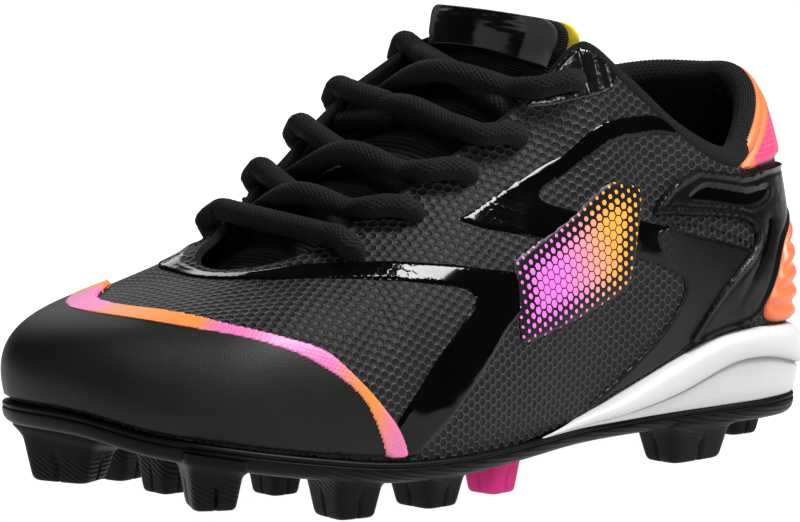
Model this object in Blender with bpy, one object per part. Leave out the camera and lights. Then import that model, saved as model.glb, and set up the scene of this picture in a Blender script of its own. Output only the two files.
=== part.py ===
"""Baseball cleat, left shoe: a low-top moulded youth cleat.
Metres, +Z up, toe towards -Y, outer (lateral) side at +X."""

import math

import bmesh
import bpy
import numpy as np

# Driving sizes, in metres.
SHOE_LENGTH = 0.234  # sole, toe to heel
BALL_WIDTH = 0.094  # sole edge of the upper at the ball
THROAT_HEIGHT = 0.0883  # top eyelet corner above the outsole at the ball
STUD_HEIGHT = 0.0078  # ground to outsole plate
PLATE_THICKNESS = 0.0058  # outsole plate at the ball
ARCH_LIFT = 0.0018  # underside of the plate, raised at the arch
TOE_SPRING = 0.0146  # rise of the sole from ball to toe
HEEL_STACK = 0.0167  # foam between outsole and upper at the heel
SOLE_LIP = 0.0020  # outsole edge beyond the upper
GAP = 0.0003  # clearance between pieces that touch
WALL = 0.0020  # upper, without the collar padding
COLLAR_PADDING = 0.0050
OVERLAY_GAP = 0.00055  # between the upper and what lies on it, whose facets differ
OVERLAY = 0.0009  # toe cap and heel pieces
HEEL_RIB = 0.0008  # relief of the ribs of the heel panel
HEEL_PANEL_FILM = 0.0006
HEEL_TAB_FILM = 0.0007
INSOLE_THICKNESS = 0.0030
INSOLE_INSET = 0.0028  # sole edge of the upper to the insole
FOOTBED_DISH = 0.0030
LINING = 0.0012
LABEL = 0.0007
LABEL_FROM = 0.83  # shares of the tongue's length
LABEL_TO = 0.985
LINING_FROM = 0.6
LABEL_WIDTH = 0.80  # shares of its half width
LINING_WIDTH = 0.97
TONGUE_EDGE_THINNING = 0.45  # share of the tongue's thickness
LACE = 0.0058  # lace diameter
LACE_GAP = 0.0011  # over the tongue and its label
LACE_OVER = 0.0022
LACE_AHEAD = 0.05  # and above its row of holes, in tongue lengths
CROSSING_PLACES = (-0.62, -0.15, 0.25)  # a strand's points over the tongue, in half widths
BAR_PLACES = (-0.45, 0.0, 0.45)
TONGUE_INNER_DROP = 0.6  # how far the inner edge of the tongue drops, as a share of the outer edge
ARM_STEP = 0.0001  # a counter's arm against its band, so that they join cleanly
LEVEL = 0.0016  # studs this much off the ground or less are brought down to it
WELD = 1e-6
SHARP_ANGLE = math.radians(35)
ROLLED_EDGE = np.radians([60, 120])  # points over the top edge of the upper, from its outer face

# How finely each solid is divided.
UPPER_STATIONS = 3  # for each section
UPPER_ROWS = 10
SOLE_STATIONS = 26
ACROSS_SOLE = 6
MIDSOLE_STATIONS = 17
TOE_CAP_STATIONS = 41
TOE_CAP_ROWS = 7
COUNTER_STATIONS = 33
ARM_STATIONS = 13
ACROSS_BAND = 5
PANEL_STATIONS = 13
RIB_ROWS = 4  # for each rib
TAB_STATIONS = 17
TONGUE_STATIONS = 17
ACROSS_TONGUE = 9
TRIM_STATIONS = 7
LACE_SIDES = 7
BAR_STATIONS = 17
CROSSING_STATIONS = 13
BLACK = (0.016, 0.016, 0.017)

# The upper's shell, a row for each section, from the toe round the outer side and the heel and back along
# the inner side. Each section runs from the sole edge up to the edge of the opening.
# foot_x, edge_x, out and lean are shares of BALL_WIDTH; foot_y and edge_y of SHOE_LENGTH;
# spring, stack of TOE_SPRING and HEEL_STACK; edge_z, rise and drop of THROAT_HEIGHT.
SECTION_COLUMNS = (
    *("foot_x", "foot_y", "spring", "stack"),
    *("edge_x", "edge_y", "edge_z"),
    *("out", "rise", "lean", "drop"),
)
SECTIONS = {
    "toe": (-0.085, -0.464, 1.00, 0.00, -0.044, -0.232, 0.472, 0.062, 0.235, 0.389, 0.105),
    "toe_outer_front": (0.133, -0.453, 0.97, 0.00, 0.033, -0.228, 0.478, 0.065, 0.225, 0.367, 0.110),
    "toe_outer_corner": (0.289, -0.413, 0.70, 0.00, 0.111, -0.217, 0.494, 0.055, 0.211, 0.322, 0.110),
    "toe_outer_back": (0.406, -0.355, 0.49, 0.00, 0.161, -0.187, 0.517, 0.050, 0.233, 0.278, 0.111),
    "ball_outer_front": (0.478, -0.272, 0.25, 0.00, 0.183, -0.147, 0.556, 0.033, 0.256, 0.244, 0.133),
    "ball_outer": (0.511, -0.177, 0.03, 0.00, 0.200, -0.089, 0.628, 0.022, 0.267, 0.222, 0.156),
    "ball_outer_back": (0.500, -0.080, -0.05, 0.00, 0.211, -0.022, 0.717, 0.022, 0.289, 0.200, 0.178),
    "arch_outer_front": (0.456, 0.013, -0.04, 0.00, 0.217, 0.045, 0.806, 0.033, 0.311, 0.178, 0.222),
    "arch_outer": (0.400, 0.107, 0.00, 0.15, 0.228, 0.108, 0.905, 0.044, 0.333, 0.144, 0.267),
    "arch_outer_back": (0.367, 0.188, 0.00, 0.45, 0.250, 0.165, 1.028, 0.044, 0.311, 0.111, 0.311),
    "quarter_outer_front": (0.350, 0.259, 0.00, 0.76, 0.278, 0.224, 0.911, 0.044, 0.256, 0.067, 0.267),
    "quarter_outer": (0.344, 0.324, 0.00, 1.03, 0.306, 0.291, 0.755, 0.044, 0.200, 0.033, 0.200),
    "quarter_outer_back": (0.333, 0.386, 0.00, 1.08, 0.300, 0.362, 0.672, 0.033, 0.167, 0.022, 0.178),
    "heel_outer": (0.283, 0.442, 0.00, 1.03, 0.233, 0.415, 0.733, 0.033, 0.189, 0.045, 0.200),
    "heel_outer_back": (0.170, 0.472, 0.00, 0.97, 0.122, 0.460, 0.816, 0.020, 0.211, 0.080, 0.222),
    "heel": (0.022, 0.479, 0.00, 0.97, 0.014, 0.473, 0.872, 0.010, 0.222, 0.110, 0.278),
    "heel_inner_back": (-0.128, 0.480, 0.00, 0.97, -0.100, 0.463, 0.871, 0.033, 0.222, 0.080, 0.222),
    "heel_inner": (-0.244, 0.445, 0.00, 1.00, -0.211, 0.422, 0.867, 0.033, 0.222, 0.045, 0.200),
    "quarter_inner_back": (-0.311, 0.386, 0.00, 1.03, -0.278, 0.367, 0.844, 0.033, 0.222, 0.022, 0.200),
    "quarter_inner": (-0.322, 0.308, 0.00, 1.00, -0.300, 0.295, 0.811, 0.044, 0.222, 0.033, 0.200),
    "quarter_inner_front": (-0.300, 0.221, 0.00, 0.74, -0.319, 0.214, 0.888, 0.067, 0.256, 0.067, 0.244),
    "arch_inner_back": (-0.278, 0.134, 0.00, 0.40, -0.325, 0.158, 1.000, 0.089, 0.289, 0.111, 0.289),
    "arch_inner": (-0.289, 0.036, 0.00, 0.12, -0.323, 0.063, 0.910, 0.089, 0.300, 0.144, 0.267),
    "arch_inner_front": (-0.356, -0.063, -0.03, 0.00, -0.298, -0.009, 0.809, 0.067, 0.289, 0.167, 0.222),
    "ball_inner_back": (-0.422, -0.152, 0.00, 0.00, -0.277, -0.062, 0.712, 0.044, 0.267, 0.178, 0.178),
    "ball_inner": (-0.467, -0.223, 0.14, 0.00, -0.250, -0.126, 0.608, 0.033, 0.256, 0.200, 0.156),
    "ball_inner_front": (-0.456, -0.299, 0.38, 0.00, -0.200, -0.175, 0.539, 0.044, 0.240, 0.244, 0.133),
    "toe_inner_back": (-0.378, -0.366, 0.66, 0.00, -0.156, -0.213, 0.506, 0.055, 0.240, 0.289, 0.130),
    "toe_inner_corner": (-0.250, -0.424, 0.88, 0.00, -0.106, -0.230, 0.483, 0.065, 0.235, 0.344, 0.115),
}

# Places along the shell, counted in sections.
COUNT = len(SECTIONS)
HEEL = list(SECTIONS).index("heel")
COLLAR_FROM = list(SECTIONS).index("arch_outer_back") - 0.3
COLLAR_TO = list(SECTIONS).index("arch_inner_back") + 0.3
COLLAR_RAMP = 1.5
PADDING_FROM = 0.45  # shares of a section's height
LOW_EDGE = 0.012  # of the pieces that reach down to the sole
ARCH_PLACE = 6.5
ARCH_SPREAD = 3.0
DISH_STARTS = 1.5  # how fast the footbed's dish deepens with the stack

# Side of the outsole plate, upwards: share of its height, and distance out from the upper in SOLE_LIP.
PLATE_PROFILE = ((0.0, -0.8), (0.22, 0.45), (0.72, 1.0), (1.0, 0.7))

# Foam under the heel: shares of its height, and distance out from the upper's sole edge in SOLE_LIP.
MIDSOLE_FROM = 7.3
MIDSOLE_TO = 22.7
SWELL_STARTS = 2.5  # how fast the side swells out with the foam's height
THIN_LIP = 0.7  # its distance out where it is thin, in SOLE_LIP
GROOVE_LOW = 0.28  # the groove's height in the foam, as shares of it, rising in front of the heel
GROOVE_RISE = 0.34
GROOVE_PLACE = 3.4  # sections in front of the heel
GROOVE_SPREAD = 1.6
MIDSOLE_PROFILE = ((0.0, 0.9), (0.96, 1.5), (1.0, 1.9), (1.55, 2.0), (2.0, 0.8))

# Studs: centre in shares of BALL_WIDTH and SHOE_LENGTH, width across and length along at the plate in
# shares of BALL_WIDTH, and turn in degrees.
STUD_COLUMNS = ("across", "along", "width", "length", "turn")
STUDS = {
    "toe_inner": (-0.140, -0.385, 0.215, 0.150, 22),
    "toe_outer": (0.330, -0.350, 0.190, 0.145, -28),
    "front_middle": (-0.045, -0.290, 0.130, 0.110, 0),
    "front_inner": (-0.345, -0.262, 0.170, 0.140, 12),
    "front_outer": (0.385, -0.196, 0.175, 0.145, -6),
    "ball_middle": (0.010, -0.165, 0.130, 0.110, 0),
    "ball_inner": (-0.345, -0.140, 0.165, 0.140, -6),
    "ball_outer": (0.390, -0.090, 0.170, 0.140, 4),
    "waist_inner": (-0.250, -0.030, 0.130, 0.120, -14),
    "heel_outer": (0.275, 0.300, 0.150, 0.240, 5),
    "heel_inner": (-0.245, 0.300, 0.150, 0.240, -3),
    "heel_back": (0.025, 0.455, 0.180, 0.120, 0),
}
ACCENT_STUD = (0.345, LOW_EDGE, 0.125, 0.115, 8)
STUD_TAPER = 0.76  # ground face against the face at the plate
STUD_ROOT = 0.0015  # a stud's top inside the plate

# Toe cap, outer half: a row for each station, from the middle of the toe to the ball. The cap runs from the
# sole edge at foot_at to its upper edge at (edge_at, edge_height).
TOE_CAP_COLUMNS = ("foot_at", "edge_at", "edge_height")
TOE_CAP = (
    (0.00, 0.00, 0.690),
    (1.15, 0.95, 0.680),
    (2.20, 2.00, 0.630),
    (3.10, 2.85, 0.550),
    (3.85, 3.55, 0.470),
    (4.35, 4.00, 0.400),
    (4.75, 4.40, 0.305),
    (5.00, 4.80, 0.195),
    (5.12, 5.05, 0.100),
)

# Heel pieces, outer half, as bands between two edges, each given by its place and height.
BAND_COLUMNS = ("first_at", "first_height", "second_at", "second_height")
COUNTER = (
    (10.11, LOW_EDGE, 11.71, LOW_EDGE),
    (10.61, 0.129, 12.05, 0.142),
    (11.33, 0.310, 12.38, 0.257),
    (11.95, 0.490, 12.69, 0.400),
    (12.20, 0.660, 13.05, 0.490),
    (12.75, 0.840, 13.60, 0.520),
    (13.40, 0.775, 14.10, 0.525),
    (14.20, 0.710, 14.55, 0.522),
    (15.00, 0.655, 15.00, 0.520),
)
COUNTER_ARM = (
    (9.80, 0.545, 9.82, 0.520),
    (10.17, 0.628, 10.20, 0.545),
    (10.91, 0.818, 10.95, 0.595),
    (11.25, 0.890, 11.35, 0.640),
    (11.91, 0.935, 11.90, 0.672),
    (12.70, 0.820, 12.35, 0.600),
)
HEEL_PANEL = (
    (12.75, 0.375, 11.80, LOW_EDGE),
    (13.20, 0.460, 12.60, LOW_EDGE),
    (13.70, 0.495, 13.45, LOW_EDGE),
    (14.30, 0.500, 14.20, LOW_EDGE),
    (15.00, 0.495, 15.00, LOW_EDGE),
)
HEEL_TAB = (
    (12.30, 0.975, 12.05, 0.965),
    (12.95, 0.985, 12.85, 0.870),
    (13.50, 0.985, 13.45, 0.800),
    (14.10, 0.985, 14.10, 0.735),
    (15.00, 0.985, 15.00, 0.685),
)
HEEL_RIBS = 5

# Tongue, front to top: outer face at the middle in shares of SHOE_LENGTH and THROAT_HEIGHT above the outsole,
# half width and drop of its edges in shares of BALL_WIDTH, thickness in metres, and how far its middle lies
# towards the outer side, in shares of BALL_WIDTH.
TONGUE_COLUMNS = ("along", "height", "half_width", "drop", "thickness", "middle")
TONGUE = (
    (-0.262, 0.385, 0.160, 0.035, 0.0020, -0.010),
    (-0.215, 0.435, 0.190, 0.052, 0.0025, -0.010),
    (-0.155, 0.530, 0.224, 0.072, 0.0030, -0.014),
    (-0.080, 0.645, 0.262, 0.082, 0.0030, -0.030),
    (0.005, 0.765, 0.273, 0.090, 0.0032, -0.037),
    (0.070, 0.885, 0.264, 0.096, 0.0036, -0.050),
    (0.103, 0.985, 0.235, 0.101, 0.0042, -0.041),
    (0.116, 1.058, 0.245, 0.106, 0.0046, -0.045),
    (0.122, 1.118, 0.284, 0.110, 0.0042, -0.036),
)

# Lace holes from toe to top: place along the shell and height in it, outer side and inner side.
EYELET_COLUMNS = ("outer_at", "outer_height", "inner_at", "inner_height")
EYELETS = (
    (4.25, 0.895, 25.40, 0.895),
    (5.40, 0.915, 24.35, 0.915),
    (6.45, 0.925, 23.25, 0.925),
    (7.45, 0.930, 22.35, 0.930),
    (8.70, 0.925, 21.35, 0.925),
)

Z_AXIS = np.array([0.0, 0.0, 1.0])


def periodic(values, at):
    """Catmull-Rom curve through the rows of values, closed on itself, at positions counted in rows."""
    count = len(values)
    first = np.floor(at).astype(int)
    f = (at - first)[..., None]
    a, b, c, d = (values[(first + k) % count] for k in (-1, 0, 1, 2))
    return b + 0.5 * f * (c - a + f * (2 * a - 5 * b + 4 * c - d + f * (3 * (b - c) + d - a)))


def named(columns, rows):
    """A table's columns by name, each as an array with one value a row."""
    return dict(zip(columns, np.array(list(rows), dtype=float).T))


def section_values():
    """Foot, low handle, high handle and edge of each section's curve, in metres."""
    share = named(SECTION_COLUMNS, SECTIONS.values())
    ground = STUD_HEIGHT + PLATE_THICKNESS
    foot_z = ground + share["spring"] * TOE_SPRING + share["stack"] * HEEL_STACK
    edge_z = ground + share["edge_z"] * THROAT_HEIGHT
    foot = np.column_stack([share["foot_x"] * BALL_WIDTH, share["foot_y"] * SHOE_LENGTH, foot_z])
    edge = np.column_stack([share["edge_x"] * BALL_WIDTH, share["edge_y"] * SHOE_LENGTH, edge_z])
    along = np.roll(foot, -1, axis=0) - np.roll(foot, 1, axis=0)
    outward = np.column_stack([along[:, 1], -along[:, 0], np.zeros(COUNT)])
    outward /= np.linalg.norm(outward, axis=1, keepdims=True)
    out, rise, lean, drop = (share[name][:, None] for name in ("out", "rise", "lean", "drop"))
    low = foot + outward * out * BALL_WIDTH + Z_AXIS * rise * THROAT_HEIGHT
    high = edge + outward * lean * BALL_WIDTH - Z_AXIS * drop * THROAT_HEIGHT
    return foot, low, high, edge


def shell(s, t):
    """Outer face of the upper: s counts sections round the shoe, t runs from the sole edge, 0, to the top, 1.
    Each section is a cubic Bezier curve from foot to edge, through the two handles of its row."""
    foot, low, high, edge = (periodic(points, s) for points in section_values())
    t = np.asarray(t)[..., None]
    return (1 - t) ** 3 * foot + 3 * t * (1 - t) ** 2 * low + 3 * t**2 * (1 - t) * high + t**3 * edge


def shell_offset(s, t, depth):
    """The upper's outer face moved outwards by depth along its normal, from small central differences."""
    step = 1e-3
    s, t, depth = np.broadcast_arrays(s, t, depth)
    along = shell(s + step, t) - shell(s - step, t)
    up = shell(s, t + step) - shell(s, t - step)
    normal = np.cross(along, up)
    return shell(s, t) + normal / np.linalg.norm(normal, axis=-1, keepdims=True) * depth[..., None]


def smooth(value):
    """0 below 0, 1 above 1, with a soft start and end."""
    value = np.clip(value, 0, 1)
    return value * value * (3 - 2 * value)


def wall(s, t):
    """Thickness of the upper: padded towards the top edge along the collar."""
    collar = smooth((s - COLLAR_FROM) / COLLAR_RAMP) * smooth((COLLAR_TO - s) / COLLAR_RAMP)
    return WALL + COLLAR_PADDING * collar * smooth((t - PADDING_FROM) / (1 - PADDING_FROM))


def foot_ring(s, out, height):
    """Sole edge of the upper moved outwards in plan, at the height given."""
    step = 1e-3
    foot = periodic(section_values()[0], s)
    along = periodic(section_values()[0], s + step) - periodic(section_values()[0], s - step)
    outward = np.stack([along[:, 1], -along[:, 0]], axis=-1)
    outward /= np.linalg.norm(outward, axis=-1, keepdims=True)
    plan = foot[:, :2] + outward * np.broadcast_to(out, s.shape)[:, None]
    return np.column_stack([plan, np.broadcast_to(height, s.shape)])


def column(name, s):
    """One column of the table of sections, read at s."""
    return periodic(named(SECTION_COLUMNS, SECTIONS.values())[name][:, None], s)[..., 0]


def plate_top(s):
    return STUD_HEIGHT + PLATE_THICKNESS + column("spring", s) * TOE_SPRING


def foot_height(s):
    return plate_top(s) + column("stack", s) * HEEL_STACK


def plate_bottom(s):
    """Underside of the outsole plate: it follows the toe spring and lifts at the arch."""
    arch = np.exp(-(((np.abs(s - HEEL) - ARCH_PLACE) / ARCH_SPREAD) ** 2))
    return STUD_HEIGHT + ARCH_LIFT * arch + column("spring", s) * TOE_SPRING


def material(name, colour, roughness, metallic=0.0):
    made = bpy.data.materials.new(name)
    made.use_nodes = True
    shader = made.node_tree.nodes["Principled BSDF"]
    shader.inputs["Base Color"].default_value = (*colour, 1.0)
    shader.inputs["Roughness"].default_value = roughness
    shader.inputs["Metallic"].default_value = metallic
    return made


def solid(name, grids, finish):
    """One closed mesh from grids of points that share their border points."""
    mesh = bmesh.new()
    for grid in grids:
        rows, columns = grid.shape[:2]
        points = [mesh.verts.new(point) for point in grid.reshape(-1, 3)]
        for i in range(rows - 1):
            for j in range(columns - 1):
                first = i * columns + j
                mesh.faces.new([points[first + k] for k in (0, 1, columns + 1, columns)])
    bmesh.ops.remove_doubles(mesh, verts=mesh.verts, dist=WELD)
    bmesh.ops.recalc_face_normals(mesh, faces=mesh.faces)
    if mesh.calc_volume(signed=True) < 0:
        bmesh.ops.reverse_faces(mesh, faces=mesh.faces)
    data = bpy.data.meshes.new(name)
    mesh.to_mesh(data)
    mesh.free()
    data.materials.append(finish)
    data.shade_smooth()
    data.set_sharp_from_angle(angle=SHARP_ANGLE)
    piece = bpy.data.objects.new(name, data)
    bpy.context.scene.collection.objects.link(piece)
    return piece


def slab(near, far):
    """The grids that close the space between two like grids."""
    sides = [
        np.stack([near[0], far[0]]),
        np.stack([near[-1], far[-1]]),
        np.stack([near[:, 0], far[:, 0]]),
        np.stack([near[:, -1], far[:, -1]]),
    ]
    return [near, far, *sides]


def join_to(kept, other):
    """Makes one solid of two that overlap."""
    other.hide_render = True
    other.display_type = "WIRE"
    join = kept.modifiers.new(other.name, "BOOLEAN")
    join.operation = "UNION"
    join.solver = "EXACT"
    join.use_self = True
    join.object = other


def upper():
    """The hollow upper: outer face, rolled top edge and inner face, swept round the shoe."""
    s = np.linspace(0, COUNT, COUNT * UPPER_STATIONS + 1)[:, None]
    t = np.linspace(0, 1, UPPER_ROWS)[None]
    outer = shell_offset(s, t, 0.0)
    inner = shell_offset(s, t, -wall(s, t))
    middle = (outer[:, -1] + inner[:, -1]) / 2
    half = (outer[:, -1] - inner[:, -1]) / 2
    up = outer[:, -1] - outer[:, -2]
    up *= np.linalg.norm(half, axis=-1, keepdims=True) / np.linalg.norm(up, axis=-1, keepdims=True)
    roll = [middle + half * math.cos(a) + up * math.sin(a) for a in ROLLED_EDGE]
    ring = np.concatenate([outer, np.stack(roll, axis=1), inner[:, ::-1], outer[:, :1]], axis=1)
    return solid("upper", [ring], material("upper_synthetic", BLACK, 0.55))


def between(left, right, dish):
    """A face across the shoe between two edges, sunk by dish at its middle, less where they are close."""
    v = np.linspace(0, 1, ACROSS_SOLE)[None, :, None]
    face = left[:, None] * (1 - v) + right[:, None] * v
    sunk = dish * smooth(np.linalg.norm(right - left, axis=-1) / (BALL_WIDTH / 2))
    return face - Z_AXIS * (sunk[:, None, None] * 4 * v * (1 - v))


def both_sides(outer, inner, count=SOLE_STATIONS):
    """Places along the outer and the inner side, each from its front end to the heel."""
    return np.linspace(outer, HEEL, count), np.linspace(inner, HEEL, count)


def footbed(s, depth):
    """How deep the footbed is dished: only where the heel foam lies under it."""
    return depth * smooth(column("stack", s) * DISH_STARTS)


def lofted(name, rings, dish_low, dish_high, finish):
    """A solid from rings of (outer side, inner side) edges, lowest first, with faces across the shoe."""
    low = between(*rings[0], dish_low)
    high = between(*rings[-1], dish_high)
    outer = np.stack([ring[0] for ring in rings], axis=1)
    inner = np.stack([ring[1] for ring in rings], axis=1)
    grids = [low, high, outer, inner]
    if np.linalg.norm(rings[0][0][0] - rings[0][1][0]) > WELD:
        sunk = np.linspace(dish_low[0], dish_high[0], len(rings))
        grids.append(between(outer[0], inner[0], sunk))
    return solid(name, grids, finish)


def outsole():
    """The plate, with a rounded lower edge, a lip round the upper and a flat top, and its studs."""
    ends = both_sides(0, COUNT)

    def edge(s, share, out):
        height = plate_bottom(s) * (1 - share) + (plate_top(s) - GAP) * share
        return foot_ring(s, SOLE_LIP * out, height)

    rings = [[edge(s, share, out) for s in ends] for share, out in PLATE_PROFILE]
    flat = np.zeros(SOLE_STATIONS)
    plate = lofted("outsole", rings, flat, flat, material("outsole_rubber", (0.018, 0.018, 0.019), 0.5))
    grids = [grid for row in STUDS.values() for grid in stud(row, STUD_ROOT)]
    studs = solid("studs", grids, plate.active_material)
    join_to(plate, studs)
    return plate


def underside_at(along):
    """Height of the plate's underside at a distance along the shoe."""
    s, _ = both_sides(0, COUNT)
    return np.interp(along, foot_ring(s, 0.0, 0.0)[:, 1], plate_bottom(s))


def stud(row, root):
    """A four-sided stud, wider at the plate than at the ground, that goes up into the plate by root."""
    place = dict(zip(STUD_COLUMNS, row))
    x, y = place["across"] * BALL_WIDTH, place["along"] * SHOE_LENGTH
    under = underside_at(y)
    ground = max(under - STUD_HEIGHT - LEVEL, 0.0)
    levels = []
    for z, size in ((ground, STUD_TAPER), (under + root, 1.0)):
        half = np.array([[-1, -1], [1, -1], [1, 1], [-1, 1], [-1, -1]]) * size / 2
        half = half * np.array([place["width"], place["length"]]) * BALL_WIDTH
        a = math.radians(place["turn"])
        turned = half @ np.array([[math.cos(a), math.sin(a)], [-math.sin(a), math.cos(a)]])
        slope = underside_at(y + turned[:, 1]) - under
        height = np.maximum(z + slope * (z > 0), 0.0)
        levels.append(np.column_stack([x + turned[:, 0], y + turned[:, 1], height]))
    low, high = levels
    caps = [level[[0, 1, 3, 2]].reshape(2, 2, 3) for level in levels]
    return [np.stack([low, high]), *caps]


def accent_stud():
    return solid("accent_stud", stud(ACCENT_STUD, -GAP), material("accent_rubber", (0.62, 0.02, 0.35), 0.4))


def midsole():
    """The heel foam, from the arch round the heel: its side steps out at a groove, then rounds in."""
    ends = both_sides(MIDSOLE_FROM, MIDSOLE_TO, MIDSOLE_STATIONS)

    def edge(s, level, out):
        arch = np.exp(-(((np.abs(s - HEEL) - GROOVE_PLACE) / GROOVE_SPREAD) ** 2))
        groove = GROOVE_LOW + GROOVE_RISE * arch
        share = np.where(level < 1, groove * level, groove + (1 - groove) * (level - 1))
        low = plate_top(s) + GAP
        high = foot_height(s) - GAP
        swell = smooth((high - low) / HEEL_STACK * SWELL_STARTS)
        lip = SOLE_LIP * (THIN_LIP + (out - THIN_LIP) * swell)
        return foot_ring(s, lip, low + (high - low) * share)

    rings = [[edge(s, level, out) for s in ends] for level, out in MIDSOLE_PROFILE]
    flat = np.zeros(MIDSOLE_STATIONS)
    dish = footbed(ends[0], FOOTBED_DISH + GAP)
    return lofted("midsole", rings, flat, dish, material("midsole_foam", (0.80, 0.80, 0.79), 0.45))


def insole():
    """The sheet inside the upper, as wide as its sole edge less an inset, dished with the foam below it."""
    ends = both_sides(0, COUNT)
    dish = footbed(ends[0], FOOTBED_DISH)
    faces = (0.0, INSOLE_THICKNESS)
    rings = [[foot_ring(s, -INSOLE_INSET, foot_height(s) + rise) for s in ends] for rise in faces]
    return lofted("insole", rings, dish, dish, material("insole_cloth", (0.03, 0.03, 0.03), 0.9))


def whole_band(rows):
    """The rows of an outer half, smoothed, with their mirror image about the heel's section added."""
    rows = np.array(rows)
    mirrored = rows[-2::-1] * [-1, 1, -1, 1] + [2 * HEEL, 0, 2 * HEEL, 0]
    return np.concatenate([rows, mirrored])


def stations(columns, rows, count):
    """A table's columns by name, read at even steps from its first row to its last, as upright arrays."""
    step = np.linspace(0, len(rows) - 1, count)
    table = named(columns, rows)
    return {name: np.interp(step, np.arange(len(rows)), values)[:, None] for name, values in table.items()}


def band(rows, along_count, across_count=ACROSS_BAND):
    """A grid of places on the shell between a band's two edges."""
    place = stations(BAND_COLUMNS, rows, along_count)
    v = np.linspace(0, 1, across_count)[None]
    s = place["first_at"] * (1 - v) + place["second_at"] * v
    t = place["first_height"] * (1 - v) + place["second_height"] * v
    return s, t


def overlay(name, s, t, near, far, finish):
    """A piece that lies on the upper, between two distances out from it."""
    return solid(name, slab(shell_offset(s, t, near), shell_offset(s, t, far)), finish)


def toe_cap():
    """The cap round the toe, from the sole up to its edge: the outer half's table and its mirror image."""
    outer = np.array(TOE_CAP)
    rows = np.concatenate([outer[:0:-1] * [-1, -1, 1], outer])
    place = stations(TOE_CAP_COLUMNS, rows, TOE_CAP_STATIONS)
    v = np.linspace(0, 1, TOE_CAP_ROWS)[None]
    s = place["foot_at"] * (1 - v) + place["edge_at"] * v
    t = LOW_EDGE + (place["edge_height"] - LOW_EDGE) * v
    finish = material("toe_cap_film", BLACK, 0.5)
    return overlay("toe_cap", s, t, OVERLAY_GAP, OVERLAY_GAP + OVERLAY, finish)


def counter():
    """The heel counter, moulded in one: a band round the heel with a leg and an arm on each side."""
    finish = material("counter_plastic", BLACK, 0.3)
    places = band(whole_band(COUNTER), COUNTER_STATIONS)
    main = overlay("heel_counter", *places, OVERLAY_GAP, OVERLAY_GAP + OVERLAY, finish)
    inner_arm = np.array(COUNTER_ARM) * [-1, 1, -1, 1] + [2 * HEEL, 0, 2 * HEEL, 0]
    for name, rows in (("arm_outer", COUNTER_ARM), ("arm_inner", inner_arm)):
        places = band(rows, ARM_STATIONS)
        arm = overlay(name, *places, OVERLAY_GAP + ARM_STEP, OVERLAY_GAP + OVERLAY - ARM_STEP, finish)
        join_to(main, arm)
    return main


def heel_panel():
    """The panel below the counter's band, with its ribs lying across the heel."""
    s, t = band(whole_band(HEEL_PANEL), PANEL_STATIONS, RIB_ROWS * HEEL_RIBS + 1)
    rib = 0.5 - 0.5 * np.cos(2 * np.pi * HEEL_RIBS * np.linspace(0, 1, t.shape[1]))
    far = OVERLAY_GAP + HEEL_PANEL_FILM + HEEL_RIB * rib[None]
    finish = material("heel_panel_film", (0.9, 0.15, 0.25), 0.45)
    return overlay("heel_panel", s, t, OVERLAY_GAP, far, finish)


def heel_tab():
    """The soft tab above the counter, round the back of the collar."""
    s, t = band(whole_band(HEEL_TAB), TAB_STATIONS)
    finish = material("heel_tab_film", (0.9, 0.2, 0.12), 0.45)
    return overlay("heel_tab", s, t, OVERLAY_GAP, OVERLAY_GAP + HEEL_TAB_FILM, finish)


def tongue_face(across, along, depth):
    """The tongue's outer face, moved inwards by depth: a curve up the middle, its edges dropping away."""
    rows = np.array(TONGUE)
    step = np.clip(along, 0, 1) * (len(rows) - 1)
    first = np.clip(np.floor(step).astype(int), 0, len(rows) - 2)
    f = (step - first)[..., None]
    a, b, c, d = (rows[np.clip(first + k, 0, len(rows) - 1)] for k in (-1, 0, 1, 2))
    row = b + 0.5 * f * (c - a + f * (2 * a - 5 * b + 4 * c - d + f * (3 * (b - c) + d - a)))
    slope = 0.5 * (c - a + f * (2 * (2 * a - 5 * b + 4 * c - d) + f * 3 * (3 * (b - c) + d - a)))
    place = dict(zip(TONGUE_COLUMNS, np.moveaxis(row, -1, 0)))
    rise = dict(zip(TONGUE_COLUMNS, np.moveaxis(slope, -1, 0)))
    run = np.stack([rise["along"] * SHOE_LENGTH, rise["height"] * THROAT_HEIGHT], axis=-1)
    run /= np.linalg.norm(run, axis=-1, keepdims=True)
    side = np.where(across < 0, TONGUE_INNER_DROP, 1.0)
    sunk = place["drop"] * BALL_WIDTH * side * across**2 + depth
    x = (place["middle"] + place["half_width"] * across) * BALL_WIDTH
    y = place["along"] * SHOE_LENGTH + run[..., 1] * sunk
    z = STUD_HEIGHT + PLATE_THICKNESS + place["height"] * THROAT_HEIGHT - run[..., 0] * sunk
    return np.stack([x, y, z], axis=-1)


def tongue_thickness(across, along):
    """Thickness of the tongue, which thins towards its side edges."""
    table = named(TONGUE_COLUMNS, TONGUE)
    thick = np.interp(along, np.linspace(0, 1, len(TONGUE)), table["thickness"])
    return thick * (1 - TONGUE_EDGE_THINNING * across**2)


def tongue():
    """The padded tongue, between its outer face and one a thickness behind it."""
    across = np.linspace(-1, 1, ACROSS_TONGUE)[None]
    along = np.linspace(0, 1, TONGUE_STATIONS)[:, None]
    far = tongue_face(across, along, tongue_thickness(across, along))
    return solid("tongue", slab(tongue_face(across, along, 0.0), far), material("tongue_knit", BLACK, 0.85))


def tongue_lining():
    """The lining behind the tongue's upper part."""
    across = np.linspace(-LINING_WIDTH, LINING_WIDTH, ACROSS_TONGUE)[None]
    along = np.linspace(LINING_FROM, 1, TRIM_STATIONS)[:, None]
    near = tongue_thickness(across, along) + OVERLAY_GAP
    faces = [tongue_face(across, along, near + more) for more in (0.0, LINING)]
    return solid("tongue_lining", slab(*faces), material("lining_cloth", (0.9, 0.62, 0.02), 0.8))


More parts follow.
